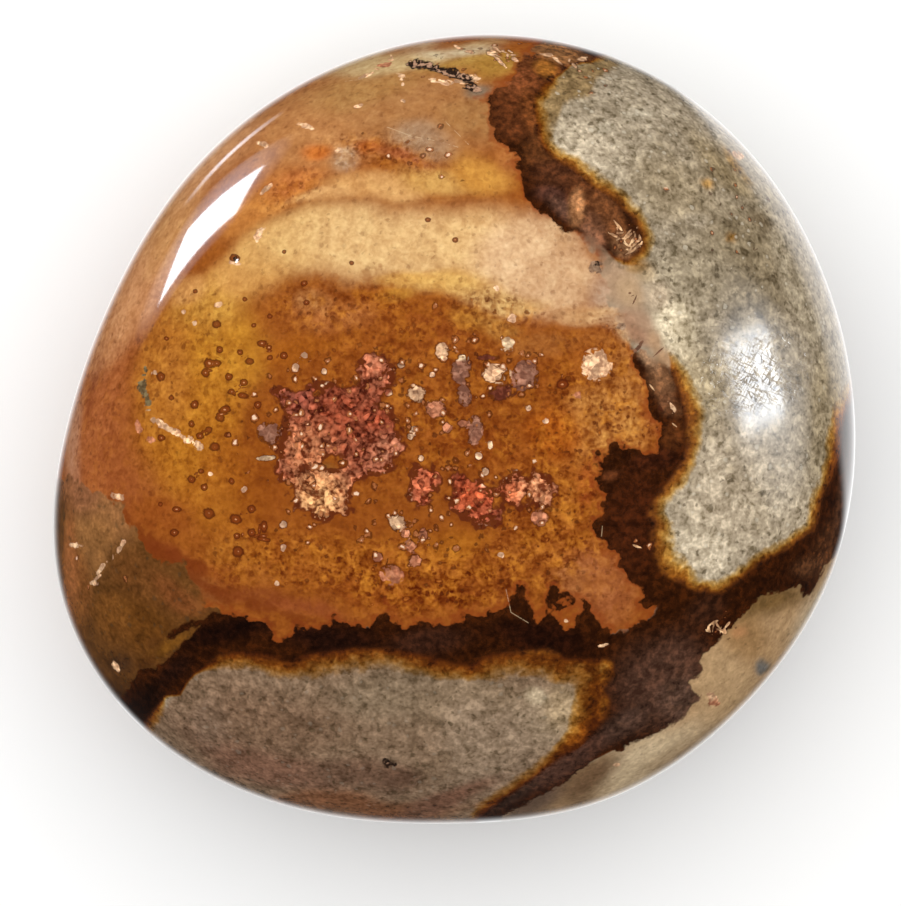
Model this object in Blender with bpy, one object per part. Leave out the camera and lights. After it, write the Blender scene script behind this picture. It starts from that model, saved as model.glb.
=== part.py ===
# Polychrome jasper pebble: one polished natural stone, lying on a small flat spot.
# Metres, +Z up. The origin is the centre of the footprint, on the resting flat.
# The broad domed face looks up, and +Y is the top of the stone as it is usually shown.

import math

import bmesh
import bpy

# Driving dimensions, in metres. The rim's radii are 22.5 degrees apart, anticlockwise from +X:
# the upper left is flatter, and the lower left bulges.
RIM_RADII = (
    0.0275, 0.0274, 0.0278, 0.0276, 0.0267, 0.0257, 0.0249, 0.0244,
    0.0260, 0.0295, 0.0297, 0.0280, 0.0264, 0.0277, 0.0274, 0.0280,
)
CROWN_HEIGHT = 0.0168  # from the girdle up to the top of the dome
BELLY_DEPTH = 0.0160  # from the girdle down to where the belly would end without its flat
SEAT_DEPTH = 0.0148  # from the girdle down to the resting flat
SEAT_BLEND = 0.0007  # height over which the belly rolls into the flat

# Roundness of the profile: 2 is an ellipse, more is a fuller shoulder
CROWN_FULLNESS = 2.30
BELLY_FULLNESS = 2.20

# Broad swells and hollows left by the tumbling: direction round the rim and above the girdle
# in degrees, half-width in degrees, height in metres
SWELLS = (
    (205, 38, 34, 0.00045),
    (330, 30, 30, -0.00035),
    (75, 34, 32, 0.00030),
    (150, -28, 36, 0.00050),
    (20, -32, 34, -0.00040),
    (265, -24, 30, 0.00035),
)

# Mesh: squares along each side of the starting cube, and how far its directions are flattened
SIDE_SQUARES = 24
DIRECTION_SQUASH = 0.80

STONE_COLOUR = (0.40, 0.21, 0.08, 1.0)
STONE_ROUGHNESS = 0.12


def rim_radius(angle):
    """Radius of the rim at an angle: a closed uniform cubic B-spline through RIM_RADII."""
    count = len(RIM_RADII)
    place = (angle / math.tau * count) % count
    start = int(place)
    t = place - start
    before, here, after, beyond = (RIM_RADII[(start + step) % count] for step in (-1, 0, 1, 2))
    return (
        (1 - t) ** 3 * before
        + (3 * t**3 - 6 * t**2 + 4) * here
        + (-3 * t**3 + 3 * t**2 + 3 * t + 1) * after
        + t**3 * beyond
    ) / 6


def swell_height(direction):
    """Sum of the broad swells in a unit direction, each a round hill or hollow."""
    total = 0.0
    for round_rim, above_girdle, half_width, height in SWELLS:
        turn = math.radians(round_rim)
        lift = math.radians(above_girdle)
        centre = (math.cos(turn) * math.cos(lift), math.sin(turn) * math.cos(lift), math.sin(lift))
        cosine = sum(a * b for a, b in zip(direction, centre))
        away = math.acos(max(-1.0, min(1.0, cosine))) / math.radians(half_width)
        total += height * math.exp(-away * away)
    return total


def seat_level(z):
    """Height above the resting flat, with the belly rolled softly into it."""
    above = z + SEAT_DEPTH
    overlap = max(SEAT_BLEND - abs(above), 0.0) / SEAT_BLEND
    return max(above, 0.0) + overlap * overlap * SEAT_BLEND / 4


def surface_point(direction):
    """Point of the pebble in a unit direction from the middle of its girdle.

    Rim and half height are joined by a superellipse, and the swells are added along the way out.
    """
    x, y, z = direction
    across = math.hypot(x, y)
    rim = rim_radius(math.atan2(y, x))
    half_height, fullness = (
        (CROWN_HEIGHT, CROWN_FULLNESS) if z > 0 else (BELLY_DEPTH, BELLY_FULLNESS)
    )
    reach = ((across / rim) ** fullness + (abs(z) / half_height) ** fullness) ** (-1 / fullness)
    reach += swell_height(direction)
    return x * reach, y * reach, z * reach


def shape_pebble(mesh):
    """Fill a mesh with a divided cube whose corners are carried out onto the pebble."""
    shape = bmesh.new()
    bmesh.ops.create_cube(shape, size=2)
    bmesh.ops.subdivide_edges(shape, edges=shape.edges[:], cuts=SIDE_SQUARES - 1, use_grid_fill=True)
    for vertex in shape.verts:
        spread = [math.tan(value * math.pi / 4) for value in vertex.co]
        spread[2] *= DIRECTION_SQUASH
        length = math.hypot(*spread)
        x, y, z = surface_point([value / length for value in spread])
        vertex.co = (x, y, seat_level(z))
    middle_x, middle_y = (
        (min(v.co[axis] for v in shape.verts) + max(v.co[axis] for v in shape.verts)) / 2
        for axis in (0, 1)
    )
    bmesh.ops.translate(shape, verts=shape.verts, vec=(-middle_x, -middle_y, 0))
    shape.to_mesh(mesh)
    shape.free()
    mesh.shade_smooth()


def polished_stone():
    """Plain polished stone in the jasper's average colour."""
    material = bpy.data.materials.new("polished_jasper")
    material.use_nodes = True
    shader = material.node_tree.nodes["Principled BSDF"]
    shader.inputs["Base Color"].default_value = STONE_COLOUR
    shader.inputs["Roughness"].default_value = STONE_ROUGHNESS
    shader.inputs["Metallic"].default_value = 0.0
    return material


def build():
    for item in list(bpy.data.objects):
        bpy.data.objects.remove(item, do_unlink=True)

    parts = bpy.data.collections.new("polychrome_jasper_pebble")
    bpy.context.scene.collection.children.link(parts)

    mesh = bpy.data.meshes.new("pebble")
    shape_pebble(mesh)
    mesh.materials.append(polished_stone())
    parts.objects.link(bpy.data.objects.new("pebble", mesh))


build()
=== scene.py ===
# Polychrome jasper pebble: one polished stone with dark brown veins, an ochre field, speckled grey
# ground, red clusters and an open crack. Metres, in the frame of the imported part. Markings are laid out
# in pixels of the face as it is seen from straight above, and their distances are millimetres.

import bpy
import numpy as np
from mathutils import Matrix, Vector


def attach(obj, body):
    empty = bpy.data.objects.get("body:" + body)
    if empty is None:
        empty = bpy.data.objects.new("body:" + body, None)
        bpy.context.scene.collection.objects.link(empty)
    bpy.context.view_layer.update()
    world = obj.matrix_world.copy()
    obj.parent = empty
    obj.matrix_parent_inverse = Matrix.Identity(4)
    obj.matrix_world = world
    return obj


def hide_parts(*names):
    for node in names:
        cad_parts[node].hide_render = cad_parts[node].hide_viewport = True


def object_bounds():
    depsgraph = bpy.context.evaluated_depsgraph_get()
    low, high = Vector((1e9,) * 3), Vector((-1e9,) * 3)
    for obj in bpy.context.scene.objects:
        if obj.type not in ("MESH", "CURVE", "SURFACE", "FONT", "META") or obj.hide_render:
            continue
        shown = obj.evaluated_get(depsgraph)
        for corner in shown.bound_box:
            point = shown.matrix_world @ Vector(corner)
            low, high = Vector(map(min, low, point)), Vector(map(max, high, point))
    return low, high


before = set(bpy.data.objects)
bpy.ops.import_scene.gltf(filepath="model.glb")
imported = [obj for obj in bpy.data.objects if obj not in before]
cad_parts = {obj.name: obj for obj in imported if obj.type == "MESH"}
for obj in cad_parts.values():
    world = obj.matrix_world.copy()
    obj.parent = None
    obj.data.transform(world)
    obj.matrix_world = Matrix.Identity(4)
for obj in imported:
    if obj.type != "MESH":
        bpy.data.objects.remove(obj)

cadLow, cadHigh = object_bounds()

# The face as a picture 901 pixels wide and 906 high, taken from straight above the girdle
picture = {
    "width": 901,
    "height": 906,
    "pixelsPerMillimetre": 14.5,  # at the girdle's height
    "stoneCentre": (454.25, 429.75),  # the pixel over the middle of the footprint
    "cameraHeight": 0.30,  # above the girdle
    "sensor": 36,
}

# The stone's form: rim radii 22.5 degrees apart, anticlockwise from +X, and its crown, belly and flat
stone = {
    "rimRadii": (
        0.0275, 0.0274, 0.0278, 0.0276, 0.0267, 0.0257, 0.0249, 0.0244,
        0.0260, 0.0295, 0.0297, 0.0280, 0.0264, 0.0277, 0.0274, 0.0280,
    ),
    "crownHeight": 0.0168,
    "bellyDepth": 0.0160,
    "crownFullness": 2.30,
    "bellyFullness": 2.20,
    "seatDepth": 0.0148,
    "seatBlend": 0.0007,
    # direction round the rim and above the girdle in degrees, half-width in degrees, height in metres
    "swells": (
        (205, 38, 34, 0.00045), (330, 30, 30, -0.00035), (75, 34, 32, 0.00030), (150, -28, 36, 0.00050),
        (20, -32, 34, -0.00040), (265, -24, 30, 0.00035),
    ),
    "squares": 128,  # along each side of the starting cube
    "girdleRow": -20 / 64,  # where the girdle lies on the cube's sides, so that the face gets more rows
    "faceShare": 0.66,  # of the texture map
    "mapMargin": 0.004,
}

# Below the girdle the markings turn, shift and wander with depth, as layers cut by the stone's sides do
belly = {
    "start": 0.0172,  # height where they begin to leave the face's own layout
    "turn": 0.62,  # radians at the resting flat
    "shift": (70, -52),  # pixels at the resting flat
    "waves": 4,
    "waveSize": 34,  # pixels at the resting flat
    "waveLength": 0.021,
    "seed": 11,
    "faceEnd": 0.115,  # share of the way down past which the face's own small marks are left out
}
# Drifts of the tints over their spots: wave length in metres, size in pixels and seed
tintDrifts = ((0.009, 3.0, 3), (0.0035, 1.2, 4))
# Millimetres given where there is no mark near: outside the nearest outline, and off the nearest spot
noOutline = -3.0
noSpot = 9.0

# Outlines of the markings, in pixels of the picture: the dark veins
veins = {
    "upper": (
        (541, 45), (528, 58), (521, 64), (515, 73), (511, 81), (508, 89), (498, 93), (487, 99),
        (488, 109), (489, 121), (498, 130), (492, 138), (502, 145), (510, 154), (517, 163), (525, 180),
        (521, 191), (523, 200), (530, 208), (542, 214), (553, 226), (564, 233), (574, 237), (584, 238),
        (596, 243), (612, 257), (626, 261), (638, 252), (641, 236), (630, 219), (612, 201), (592, 189),
        (582, 180), (572, 172), (559, 164), (546, 154), (539, 145), (536, 132), (534, 119), (532, 106),
        (536, 96), (543, 85), (559, 75), (570, 66), (590, 62), (600, 54), (600, 20), (560, 20),
    ),
    "lower": (
        (629, 351), (637, 366), (644, 378), (645, 396), (652, 414), (658, 428), (656, 443), (657, 450),
        (643, 454), (634, 447), (619, 444), (609, 447), (606, 456), (594, 465), (600, 472), (594, 478),
        (603, 489), (606, 498), (602, 508), (606, 514), (594, 522), (595, 536), (605, 545), (620, 556),
        (620, 566), (627, 577), (638, 588), (641, 595), (637, 602), (646, 606), (657, 604), (652, 614),
        (634, 622), (624, 632), (610, 632), (599, 625), (593, 616), (582, 612), (574, 623), (566, 628),
        (557, 617), (546, 610), (537, 622), (530, 612), (526, 600), (515, 594), (508, 596), (506, 606),
        (500, 611), (483, 616), (470, 615), (455, 620), (444, 624), (420, 621), (405, 624), (388, 610),
        (371, 622), (351, 624), (337, 617), (330, 622), (310, 630), (297, 630), (289, 639), (273, 641),
        (267, 626), (255, 617), (238, 614), (225, 611), (211, 610), (206, 618), (203, 625), (185, 641),
        (173, 654), (159, 666), (143, 666), (135, 677), (129, 689), (120, 700), (90, 740), (120, 770),
        (144, 727), (151, 714), (159, 704), (166, 694), (181, 692), (188, 680), (195, 672), (209, 663),
        (220, 654), (232, 651), (254, 651), (273, 655), (288, 661), (305, 654), (330, 650), (349, 647),
        (391, 647), (420, 652), (433, 656), (452, 662), (470, 664), (484, 654), (516, 650), (549, 647),
        (565, 657), (589, 658), (607, 657), (613, 662), (613, 673), (604, 689), (610, 699), (609, 711),
        (599, 725), (588, 736), (581, 745), (567, 753), (560, 756), (535, 776), (506, 796), (483, 813),
        (460, 850), (490, 860), (503, 813), (520, 806), (548, 790), (560, 783), (568, 780), (578, 771),
        (588, 764), (594, 757), (606, 749), (620, 749), (633, 741), (644, 738), (658, 731), (669, 724),
        (681, 717), (690, 706), (697, 699), (699, 693), (690, 687), (688, 679), (697, 676), (702, 669),
        (697, 659), (711, 645), (722, 634), (734, 622), (745, 610), (755, 600), (766, 592), (784, 590),
        (798, 585), (801, 597), (809, 592), (815, 583), (823, 565), (836, 552), (855, 530), (880, 480),
        (885, 430), (856, 385), (840, 430), (838, 457), (831, 477), (821, 497), (815, 523), (813, 532),
        (801, 538), (788, 548), (774, 555), (761, 562), (747, 573), (734, 583), (720, 593), (693, 592),
        (680, 583), (673, 581), (659, 574), (651, 553), (648, 532), (651, 524), (645, 515), (649, 504),
        (657, 491), (668, 479), (682, 459), (685, 440), (684, 421), (681, 405), (676, 388), (669, 370),
        (655, 359), (640, 352),
    ),
}
# Dark patches that hang together with the vein: pixel, half-length, half-width and turn in degrees
veinPatches = (
    (549, 601, 6, 9, 25), (559, 606, 6, 4, 0), (568, 597, 7, 5, 20), (554, 590, 3, 4, 0),
    (545, 613, 7, 4, 0), (584, 604, 5, 3, 40), (521, 588, 4, 3, 0), (604, 462, 4, 3, 0),
    (596, 455, 3, 4, 0),
)

# The areas that the veins part, and softer areas within them
zones = {
    "ochre": (
        (560, 20), (530, 75), (514, 110), (520, 150), (545, 185), (580, 180), (592, 205), (584, 240),
        (600, 264), (606, 290), (617, 318), (630, 345), (654, 372), (664, 400), (672, 430), (662, 460),
        (626, 470), (614, 500), (614, 540), (640, 570), (660, 600), (650, 622), (600, 640), (540, 634),
        (450, 640), (380, 632), (330, 634), (304, 642), (282, 648), (258, 634), (240, 626), (208, 606),
        (197, 584), (184, 562), (174, 561), (165, 562), (156, 557), (148, 548), (144, 535), (139, 527),
        (129, 524), (127, 515), (120, 504), (112, 498), (95, 492), (70, 478), (20, 470), (-40, 300),
        (60, 60), (300, -50), (560, -40),
    ),
    "olive": (
        (-50, 440), (70, 455), (130, 480), (160, 510), (175, 535), (215, 560), (240, 600), (215, 640),
        (150, 690), (130, 710), (100, 770), (-60, 770),
    ),
    "oliveBand": (
        (530, 118), (541, 92), (552, 80), (566, 71), (586, 66), (598, 30), (640, 20), (616, 60),
        (602, 74), (596, 90), (576, 97), (562, 104), (555, 114), (550, 124), (544, 150), (536, 150),
    ),
    "tan": (
        (900, 505), (850, 520), (824, 545), (802, 566), (780, 574), (750, 589), (716, 612), (690, 645),
        (680, 695), (640, 735), (560, 775), (500, 815), (470, 850), (480, 960), (900, 960), (980, 500),
    ),
    "lowerGrey": (
        (110, 760), (150, 720), (200, 665), (250, 645), (330, 645), (470, 650), (600, 655), (600, 740),
        (500, 810), (460, 900), (200, 900),
    ),
    "deepOrange": (
        (302, 284), (320, 278), (352, 282), (378, 279), (399, 283), (410, 300), (440, 305), (470, 304),
        (500, 324), (540, 334), (565, 330), (590, 338), (615, 346), (638, 362), (652, 440), (600, 445),
        (590, 480), (600, 540), (560, 560), (520, 570), (470, 590), (420, 600), (360, 600), (300, 590),
        (250, 560), (232, 520), (240, 470), (252, 420), (268, 380), (278, 351), (294, 340), (294, 320),
    ),
    "mauveGap": (
        (556, 226), (578, 234), (600, 250), (618, 266), (640, 268), (652, 290), (650, 312), (660, 340),
        (668, 362), (664, 380), (645, 372), (630, 352), (612, 330), (600, 306), (590, 282), (572, 258),
    ),
}

# Soft tints inside each ground, one over the other: pixel, half-length, half-width, turn in degrees and
# colour as the screen shows it, 0 to 255
ochreTints = {
    "base": (150, 80, 26),
    "spots": (
        # the left rim and the mustard field; the pale strip along the left rim is a painted reflection, and
        # the paler tints round the left window's highlight are painted sheen
        (104, 410, 36, 140, 2, (168, 94, 48)), (80, 410, 9, 90, 4, (188, 132, 98)),
        (102, 372, 5, 50, 8, (142, 70, 36)), (132, 290, 24, 90, 24, (204, 142, 94)),
        (150, 244, 18, 80, 34, (206, 144, 96)), (176, 222, 16, 60, 34, (199, 141, 87)),
        (206, 166, 22, 70, 50, (214, 156, 108)), (140, 476, 36, 56, -8, (154, 82, 38)),
        (196, 424, 50, 84, -6, (178, 110, 30)), (166, 372, 24, 60, 0, (176, 108, 40)),
        (228, 350, 44, 40, 0, (186, 122, 36)), (212, 306, 44, 26, -20, (198, 140, 58)),
        (248, 280, 42, 24, -14, (208, 150, 80)), (186, 294, 22, 20, 0, (206, 146, 82)),
        (232, 480, 34, 50, 0, (156, 86, 22)), (252, 446, 16, 50, 0, (142, 74, 22)),
        (212, 505, 26, 24, 0, (168, 98, 28)), (164, 516, 34, 20, 14, (148, 76, 26)),
        (240, 545, 30, 18, 0, (160, 92, 28)), (216, 570, 34, 12, 18, (142, 72, 24)),
        (262, 574, 30, 12, 18, (152, 84, 28)), (262, 205, 46, 22, -36, (192, 122, 58)),
        # the top, with orange patches and a beige rim that is partly a painted reflection along the edge
        (320, 130, 70, 50, -20, (188, 128, 76)), (420, 112, 80, 46, 0, (172, 118, 70)),
        (372, 88, 70, 16, -16, (173, 124, 71)), (470, 64, 60, 12, 4, (176, 132, 64)),
        (492, 72, 26, 16, -10, (172, 126, 54)), (408, 58, 90, 10, -12, (200, 168, 118)),
        (452, 49, 40, 7, 0, (206, 182, 144)), (312, 150, 15, 9, 0, (192, 104, 42)),
        (368, 150, 20, 9, 0, (172, 92, 40)), (410, 162, 30, 7, 12, (166, 92, 50)),
        (340, 162, 15, 15, 0, (178, 138, 102)), (425, 142, 32, 16, 14, (170, 132, 98)),
        (292, 180, 26, 18, -20, (188, 110, 54)), (360, 190, 40, 13, 0, (210, 154, 92)),
        (396, 190, 34, 12, 0, (212, 158, 96)), (442, 180, 42, 13, 0, (202, 150, 80)),
        (482, 172, 30, 18, 30, (204, 142, 62)), (504, 150, 12, 24, -20, (176, 108, 54)),
        (470, 122, 26, 18, 0, (164, 114, 66)), (474, 100, 13, 7, 0, (138, 116, 94)),
        # the pale band: the stone's cream colour with a soft painted sheen laid into it
        (276, 254, 40, 28, -24, (212, 160, 92)), (312, 242, 48, 29, -12, (218, 172, 108)),
        (360, 243, 54, 34, 0, (223, 180, 121)), (420, 246, 58, 38, 0, (226, 183, 124)),
        (476, 250, 52, 42, 4, (226, 182, 122)), (522, 262, 42, 40, 14, (226, 184, 138)),
        (560, 280, 34, 36, 30, (212, 168, 124)), (450, 290, 50, 12, 2, (218, 168, 92)),
        (505, 302, 40, 10, 2, (206, 160, 98)), (400, 282, 30, 8, 4, (216, 162, 84)),
        (556, 240, 20, 10, 20, (206, 162, 118)), (606, 302, 20, 32, -20, (188, 152, 122)),
        (588, 243, 9, 6, 30, (140, 102, 76)), (320, 200, 30, 8, -6, (214, 160, 100)),
        # the deep orange
        (336, 314, 36, 18, 10, (180, 110, 56)), (318, 298, 16, 10, 0, (170, 112, 62)),
        (392, 298, 20, 8, 0, (188, 128, 48)), (440, 334, 34, 12, 10, (148, 76, 28)),
        (472, 320, 22, 10, 0, (196, 134, 52)), (502, 324, 24, 10, 14, (184, 128, 60)),
        (300, 348, 34, 16, -10, (170, 96, 26)), (540, 344, 34, 12, 6, (168, 104, 48)),
        (600, 350, 34, 9, 20, (166, 98, 40)), (640, 392, 9, 38, -8, (168, 92, 42)),
        (618, 384, 26, 26, 0, (194, 128, 62)), (602, 424, 36, 34, 0, (204, 139, 68)),
        (556, 432, 30, 20, 0, (172, 87, 20)), (470, 450, 60, 24, 0, (134, 64, 18)),
        (562, 500, 26, 34, 0, (176, 104, 36)), (330, 556, 60, 22, 8, (158, 88, 26)),
        (452, 540, 26, 16, -20, (184, 111, 30)), (540, 550, 50, 14, 0, (162, 92, 34)),
        (420, 594, 90, 12, 0, (134, 64, 18)), (520, 580, 60, 14, 0, (138, 70, 22)),
        (604, 584, 30, 38, -30, (164, 94, 50)), (574, 582, 20, 18, 0, (164, 98, 50)),
        (176, 552, 36, 9, 14, (132, 62, 24)), (205, 580, 30, 12, 30, (134, 76, 36)),
        (250, 594, 50, 9, 20, (134, 66, 26)), (300, 612, 50, 8, 4, (144, 72, 32)),
        (331, 464, 11, 8, 0, (128, 92, 46)), (588, 480, 8, 30, 0, (156, 74, 28)),
        (584, 318, 32, 11, 8, (206, 158, 108)), (612, 330, 18, 8, 24, (184, 140, 102)),
        (622, 342, 14, 8, 34, (206, 160, 112)), (634, 338, 9, 14, -10, (180, 142, 112)),
    ),
}
groundTints = {
    "base": (162, 146, 122),
    "spots": (
        (590, 150, 40, 34, 30, (190, 173, 147)), (640, 118, 44, 28, 20, (168, 152, 128)),
        (672, 188, 40, 26, 20, (158, 140, 112)), (740, 262, 44, 66, -24, (138, 121, 94)),
        (690, 280, 36, 40, 0, (160, 144, 118)), (720, 172, 46, 14, 40, (148, 128, 96)),
        (800, 300, 14, 90, -22, (170, 154, 128)), (676, 334, 26, 30, -20, (226, 208, 175)),
        (700, 385, 32, 36, -10, (182, 162, 128)), (722, 432, 30, 20, 0, (162, 144, 116)),
        (735, 495, 64, 60, 0, (188, 170, 144)), (700, 552, 40, 30, 0, (204, 187, 160)),
        (818, 420, 20, 60, 6, (164, 146, 116)), (782, 505, 30, 34, -20, (188, 170, 143)),
        (658, 302, 16, 18, 0, (188, 166, 138)), (646, 275, 14, 12, 0, (174, 150, 116)),
        (832, 450, 8, 60, 6, (182, 154, 102)), (614, 284, 24, 44, -28, (180, 146, 114)),
        (628, 294, 14, 22, -20, (192, 158, 120)), (640, 332, 14, 20, -20, (176, 140, 110)),
        (664, 362, 12, 10, 0, (172, 134, 98)), (600, 258, 13, 13, 0, (160, 130, 102)),
        (640, 345, 12, 8, 30, (156, 118, 92)), (591, 245, 15, 9, 36, (140, 103, 77)),
        (624, 330, 12, 14, -20, (172, 132, 102)), (630, 341, 12, 9, 30, (164, 122, 92)),
        (654, 348, 9, 12, -20, (184, 146, 110)), (638, 266, 14, 8, 0, (166, 128, 80)),
        (728, 158, 14, 5, 40, (166, 128, 70)), (744, 176, 10, 4, 50, (142, 112, 64)),
        (703, 183, 6, 5, 0, (176, 134, 76)), (725, 243, 5, 6, 0, (146, 104, 46)),
        (640, 118, 12, 9, 0, (184, 170, 146)), (756, 226, 16, 9, 30, (124, 106, 80)),
        (768, 202, 17, 15, 40, (150, 134, 108)), (610, 132, 10, 7, 0, (202, 188, 164)),
        (693, 214, 10, 7, 20, (176, 160, 136)),
    ),
}
# The lower grey darkens and turns pinker towards the bottom rim: partly its own browner colour, partly
# painted shade and a painted pinkish reflection
lowerGreyTints = {
    "base": (138, 112, 88),
    "spots": (
        (250, 720, 96, 40, 8, (128, 99, 76)), (195, 702, 40, 20, -30, (138, 110, 86)),
        (400, 695, 70, 30, 0, (136, 114, 90)), (480, 702, 50, 24, 0, (146, 122, 96)),
        (532, 722, 44, 30, -20, (160, 137, 111)), (270, 765, 80, 20, 24, (130, 93, 72)),
        (360, 775, 60, 16, 0, (118, 88, 68)), (360, 806, 110, 12, 0, (134, 88, 58)),
        (402, 770, 24, 12, 0, (102, 74, 56)), (492, 764, 50, 26, -30, (144, 120, 97)),
        (450, 794, 50, 12, -20, (120, 84, 64)), (484, 730, 40, 34, 0, (154, 130, 106)),
        (560, 702, 22, 26, 0, (176, 150, 116)), (531, 690, 12, 8, 0, (200, 178, 146)),
        (574, 736, 16, 12, -20, (186, 156, 116)), (215, 722, 20, 22, 0, (138, 110, 88)),
    ),
}
# The olive darkens towards the lower left rim: partly its own colour, partly painted shade
oliveTints = {
    "base": (104, 64, 26),
    "spots": (
        (110, 515, 36, 38, 0, (158, 106, 62)), (92, 542, 30, 38, 0, (146, 98, 52)),
        (84, 482, 24, 28, 0, (150, 96, 60)), (150, 580, 40, 24, 20, (110, 66, 28)),
        (185, 590, 30, 12, 30, (122, 69, 31)), (76, 590, 14, 60, -8, (138, 84, 38)),
        (68, 560, 8, 60, 0, (158, 96, 50)), (140, 622, 40, 26, 0, (102, 60, 19)),
        (100, 645, 26, 30, 0, (100, 61, 24)), (172, 640, 30, 8, -28, (126, 80, 24)),
        (150, 654, 16, 8, -30, (84, 48, 16)), (118, 660, 14, 10, 0, (74, 45, 23)),
        (110, 620, 18, 20, 0, (123, 75, 28)), (157, 635, 10, 8, 0, (96, 56, 20)),
        (104, 700, 30, 24, 0, (66, 38, 14)),
    ),
}
tanTints = {
    "base": (192, 154, 110),
    "spots": (
        (725, 685, 46, 36, 0, (196, 160, 116)), (650, 760, 70, 22, -30, (214, 188, 150)),
        (745, 640, 26, 24, 0, (170, 130, 84)), (772, 606, 40, 15, -24, (124, 92, 50)),
        (820, 620, 20, 50, 30, (216, 192, 158)), (764, 662, 9, 6, -30, (118, 114, 108)),
        (740, 638, 10, 6, 0, (190, 136, 88)), (690, 745, 60, 14, -34, (170, 140, 104)),
        (530, 808, 50, 14, -30, (112, 88, 70)), (592, 782, 42, 14, -34, (118, 88, 60)),
    ),
}
oliveBandTint = (142, 116, 78)
# How the other grounds lie over the grey one
grounds = {
    "tintsAndGrit": {
        "lowerGrey": (lowerGreyTints, 0.9), "olive": (oliveTints, 0.65), "tan": (tanTints, 0.40),
    },
    "softness": 0.15,  # millimetres
    "bandSoftness": 0.12,
    "mauveFades": (-0.9, 0.6),
    "mauveSmoothing": 0.7,  # share of the grit that the mauve gap takes away
}
veinTints = {
    "base": (52, 22, 4),
    "spots": (
        (540, 66, 46, 20, 0, (102, 55, 26)), (560, 58, 26, 9, 6, (141, 96, 57)),
        (514, 92, 26, 18, 0, (120, 66, 34)), (548, 74, 13, 8, 0, (158, 100, 38)),
        (512, 118, 26, 18, 0, (88, 46, 21)), (526, 112, 10, 18, 0, (112, 62, 28)),
        (535, 145, 20, 20, 40, (92, 52, 24)), (556, 182, 34, 22, 40, (80, 44, 24)),
        (546, 202, 18, 10, 30, (80, 48, 36)), (582, 192, 22, 14, 40, (94, 52, 26)),
        (606, 216, 26, 16, 45, (114, 68, 37)), (592, 226, 14, 10, 40, (110, 70, 46)),
        (624, 240, 16, 14, 0, (131, 91, 59)), (556, 216, 16, 8, 40, (90, 60, 46)),
        (573, 212, 8, 17, 8, (196, 136, 88)), (588, 236, 14, 7, 30, (126, 84, 60)),
        (660, 378, 14, 16, -20, (126, 86, 56)), (646, 360, 14, 9, 40, (172, 132, 98)),
        (664, 398, 9, 12, -10, (112, 72, 46)), (675, 406, 7, 9, 0, (96, 58, 32)),
        (670, 434, 14, 18, 0, (86, 45, 17)), (650, 462, 30, 14, 0, (58, 25, 9)),
        (630, 525, 24, 54, 0, (63, 27, 8)), (609, 470, 7, 6, 0, (112, 60, 30)),
        (662, 684, 44, 50, 0, (84, 56, 42)), (676, 704, 20, 20, 0, (94, 68, 54)),
        (625, 728, 30, 14, -30, (82, 58, 46)), (702, 612, 26, 18, -30, (60, 32, 17)),
        (560, 768, 60, 16, -30, (82, 54, 42)), (505, 800, 30, 10, -30, (64, 44, 34)),
        (826, 545, 16, 40, 18, (84, 48, 24)), (806, 570, 14, 10, -30, (92, 56, 32)),
        (838, 500, 9, 40, 10, (76, 46, 28)), (230, 630, 50, 16, -6, (28, 9, 3)),
        (330, 636, 60, 16, 0, (34, 13, 5)), (430, 640, 36, 16, 0, (54, 28, 16)),
        (540, 636, 60, 14, 0, (36, 13, 4)), (150, 700, 24, 20, -40, (30, 12, 4)),
        (180, 668, 24, 12, -36, (36, 15, 6)),
    ),
}

# Soft values, laid the same way: pixel, half-length, half-width, turn in degrees and value.
# The widths of the golden halo beside the veins are millimetres
haloWidths = {
    "base": 0.55,
    "spots": (
        (596, 190, 60, 26, 42, 0.75), (640, 235, 16, 14, 0, 0.6), (606, 258, 24, 12, 20, 0.22),
        (545, 130, 12, 26, 0, 0.6), (576, 72, 34, 16, 0, 0.12), (692, 416, 26, 44, 0, 0.95),
        (672, 490, 24, 16, -40, 0.8), (664, 552, 24, 40, -30, 1.1), (710, 590, 40, 14, 0, 0.75),
        (762, 560, 30, 12, -30, 0.5), (802, 540, 30, 12, -30, 0.6), (832, 450, 14, 50, 8, 0.9),
        (250, 662, 40, 16, 4, 0.85), (330, 664, 50, 18, 0, 1.15), (420, 668, 60, 18, 4, 1.0),
        (188, 686, 40, 26, -30, 0.12), (490, 668, 34, 14, 0, 1.2), (545, 664, 40, 14, 6, 1.55),
        (592, 704, 26, 44, 14, 2.2), (570, 744, 24, 14, -30, 1.2), (575, 200, 14, 24, 0, 0.2),
    ),
}
# How coarse and how strong the grains are
granularShares = {
    "base": 0.12,
    "spots": (
        (300, 560, 90, 34, 10, 0.8), (440, 575, 110, 34, 0, 1.0), (560, 550, 60, 40, 0, 0.9),
        (600, 420, 60, 90, 0, 0.85), (430, 400, 130, 90, 0, 0.6), (540, 500, 60, 60, 0, 0.85),
        (190, 400, 60, 110, 0, 0.42), (380, 155, 60, 20, 8, 0.6), (290, 190, 30, 20, -30, 0.5),
        (340, 305, 60, 24, 0, 0.7), (500, 312, 50, 18, 0, 0.7), (606, 588, 28, 34, -30, 0.30),
        (104, 400, 30, 120, 0, 0.28), (745, 270, 50, 64, -24, 0.95), (640, 190, 60, 60, 0, 0.40),
        (720, 180, 50, 20, 40, 0.8), (770, 470, 60, 60, 0, 0.25), (300, 760, 120, 40, 0, 0.45),
        (470, 720, 60, 40, 0, 0.45),
    ),
}
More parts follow.
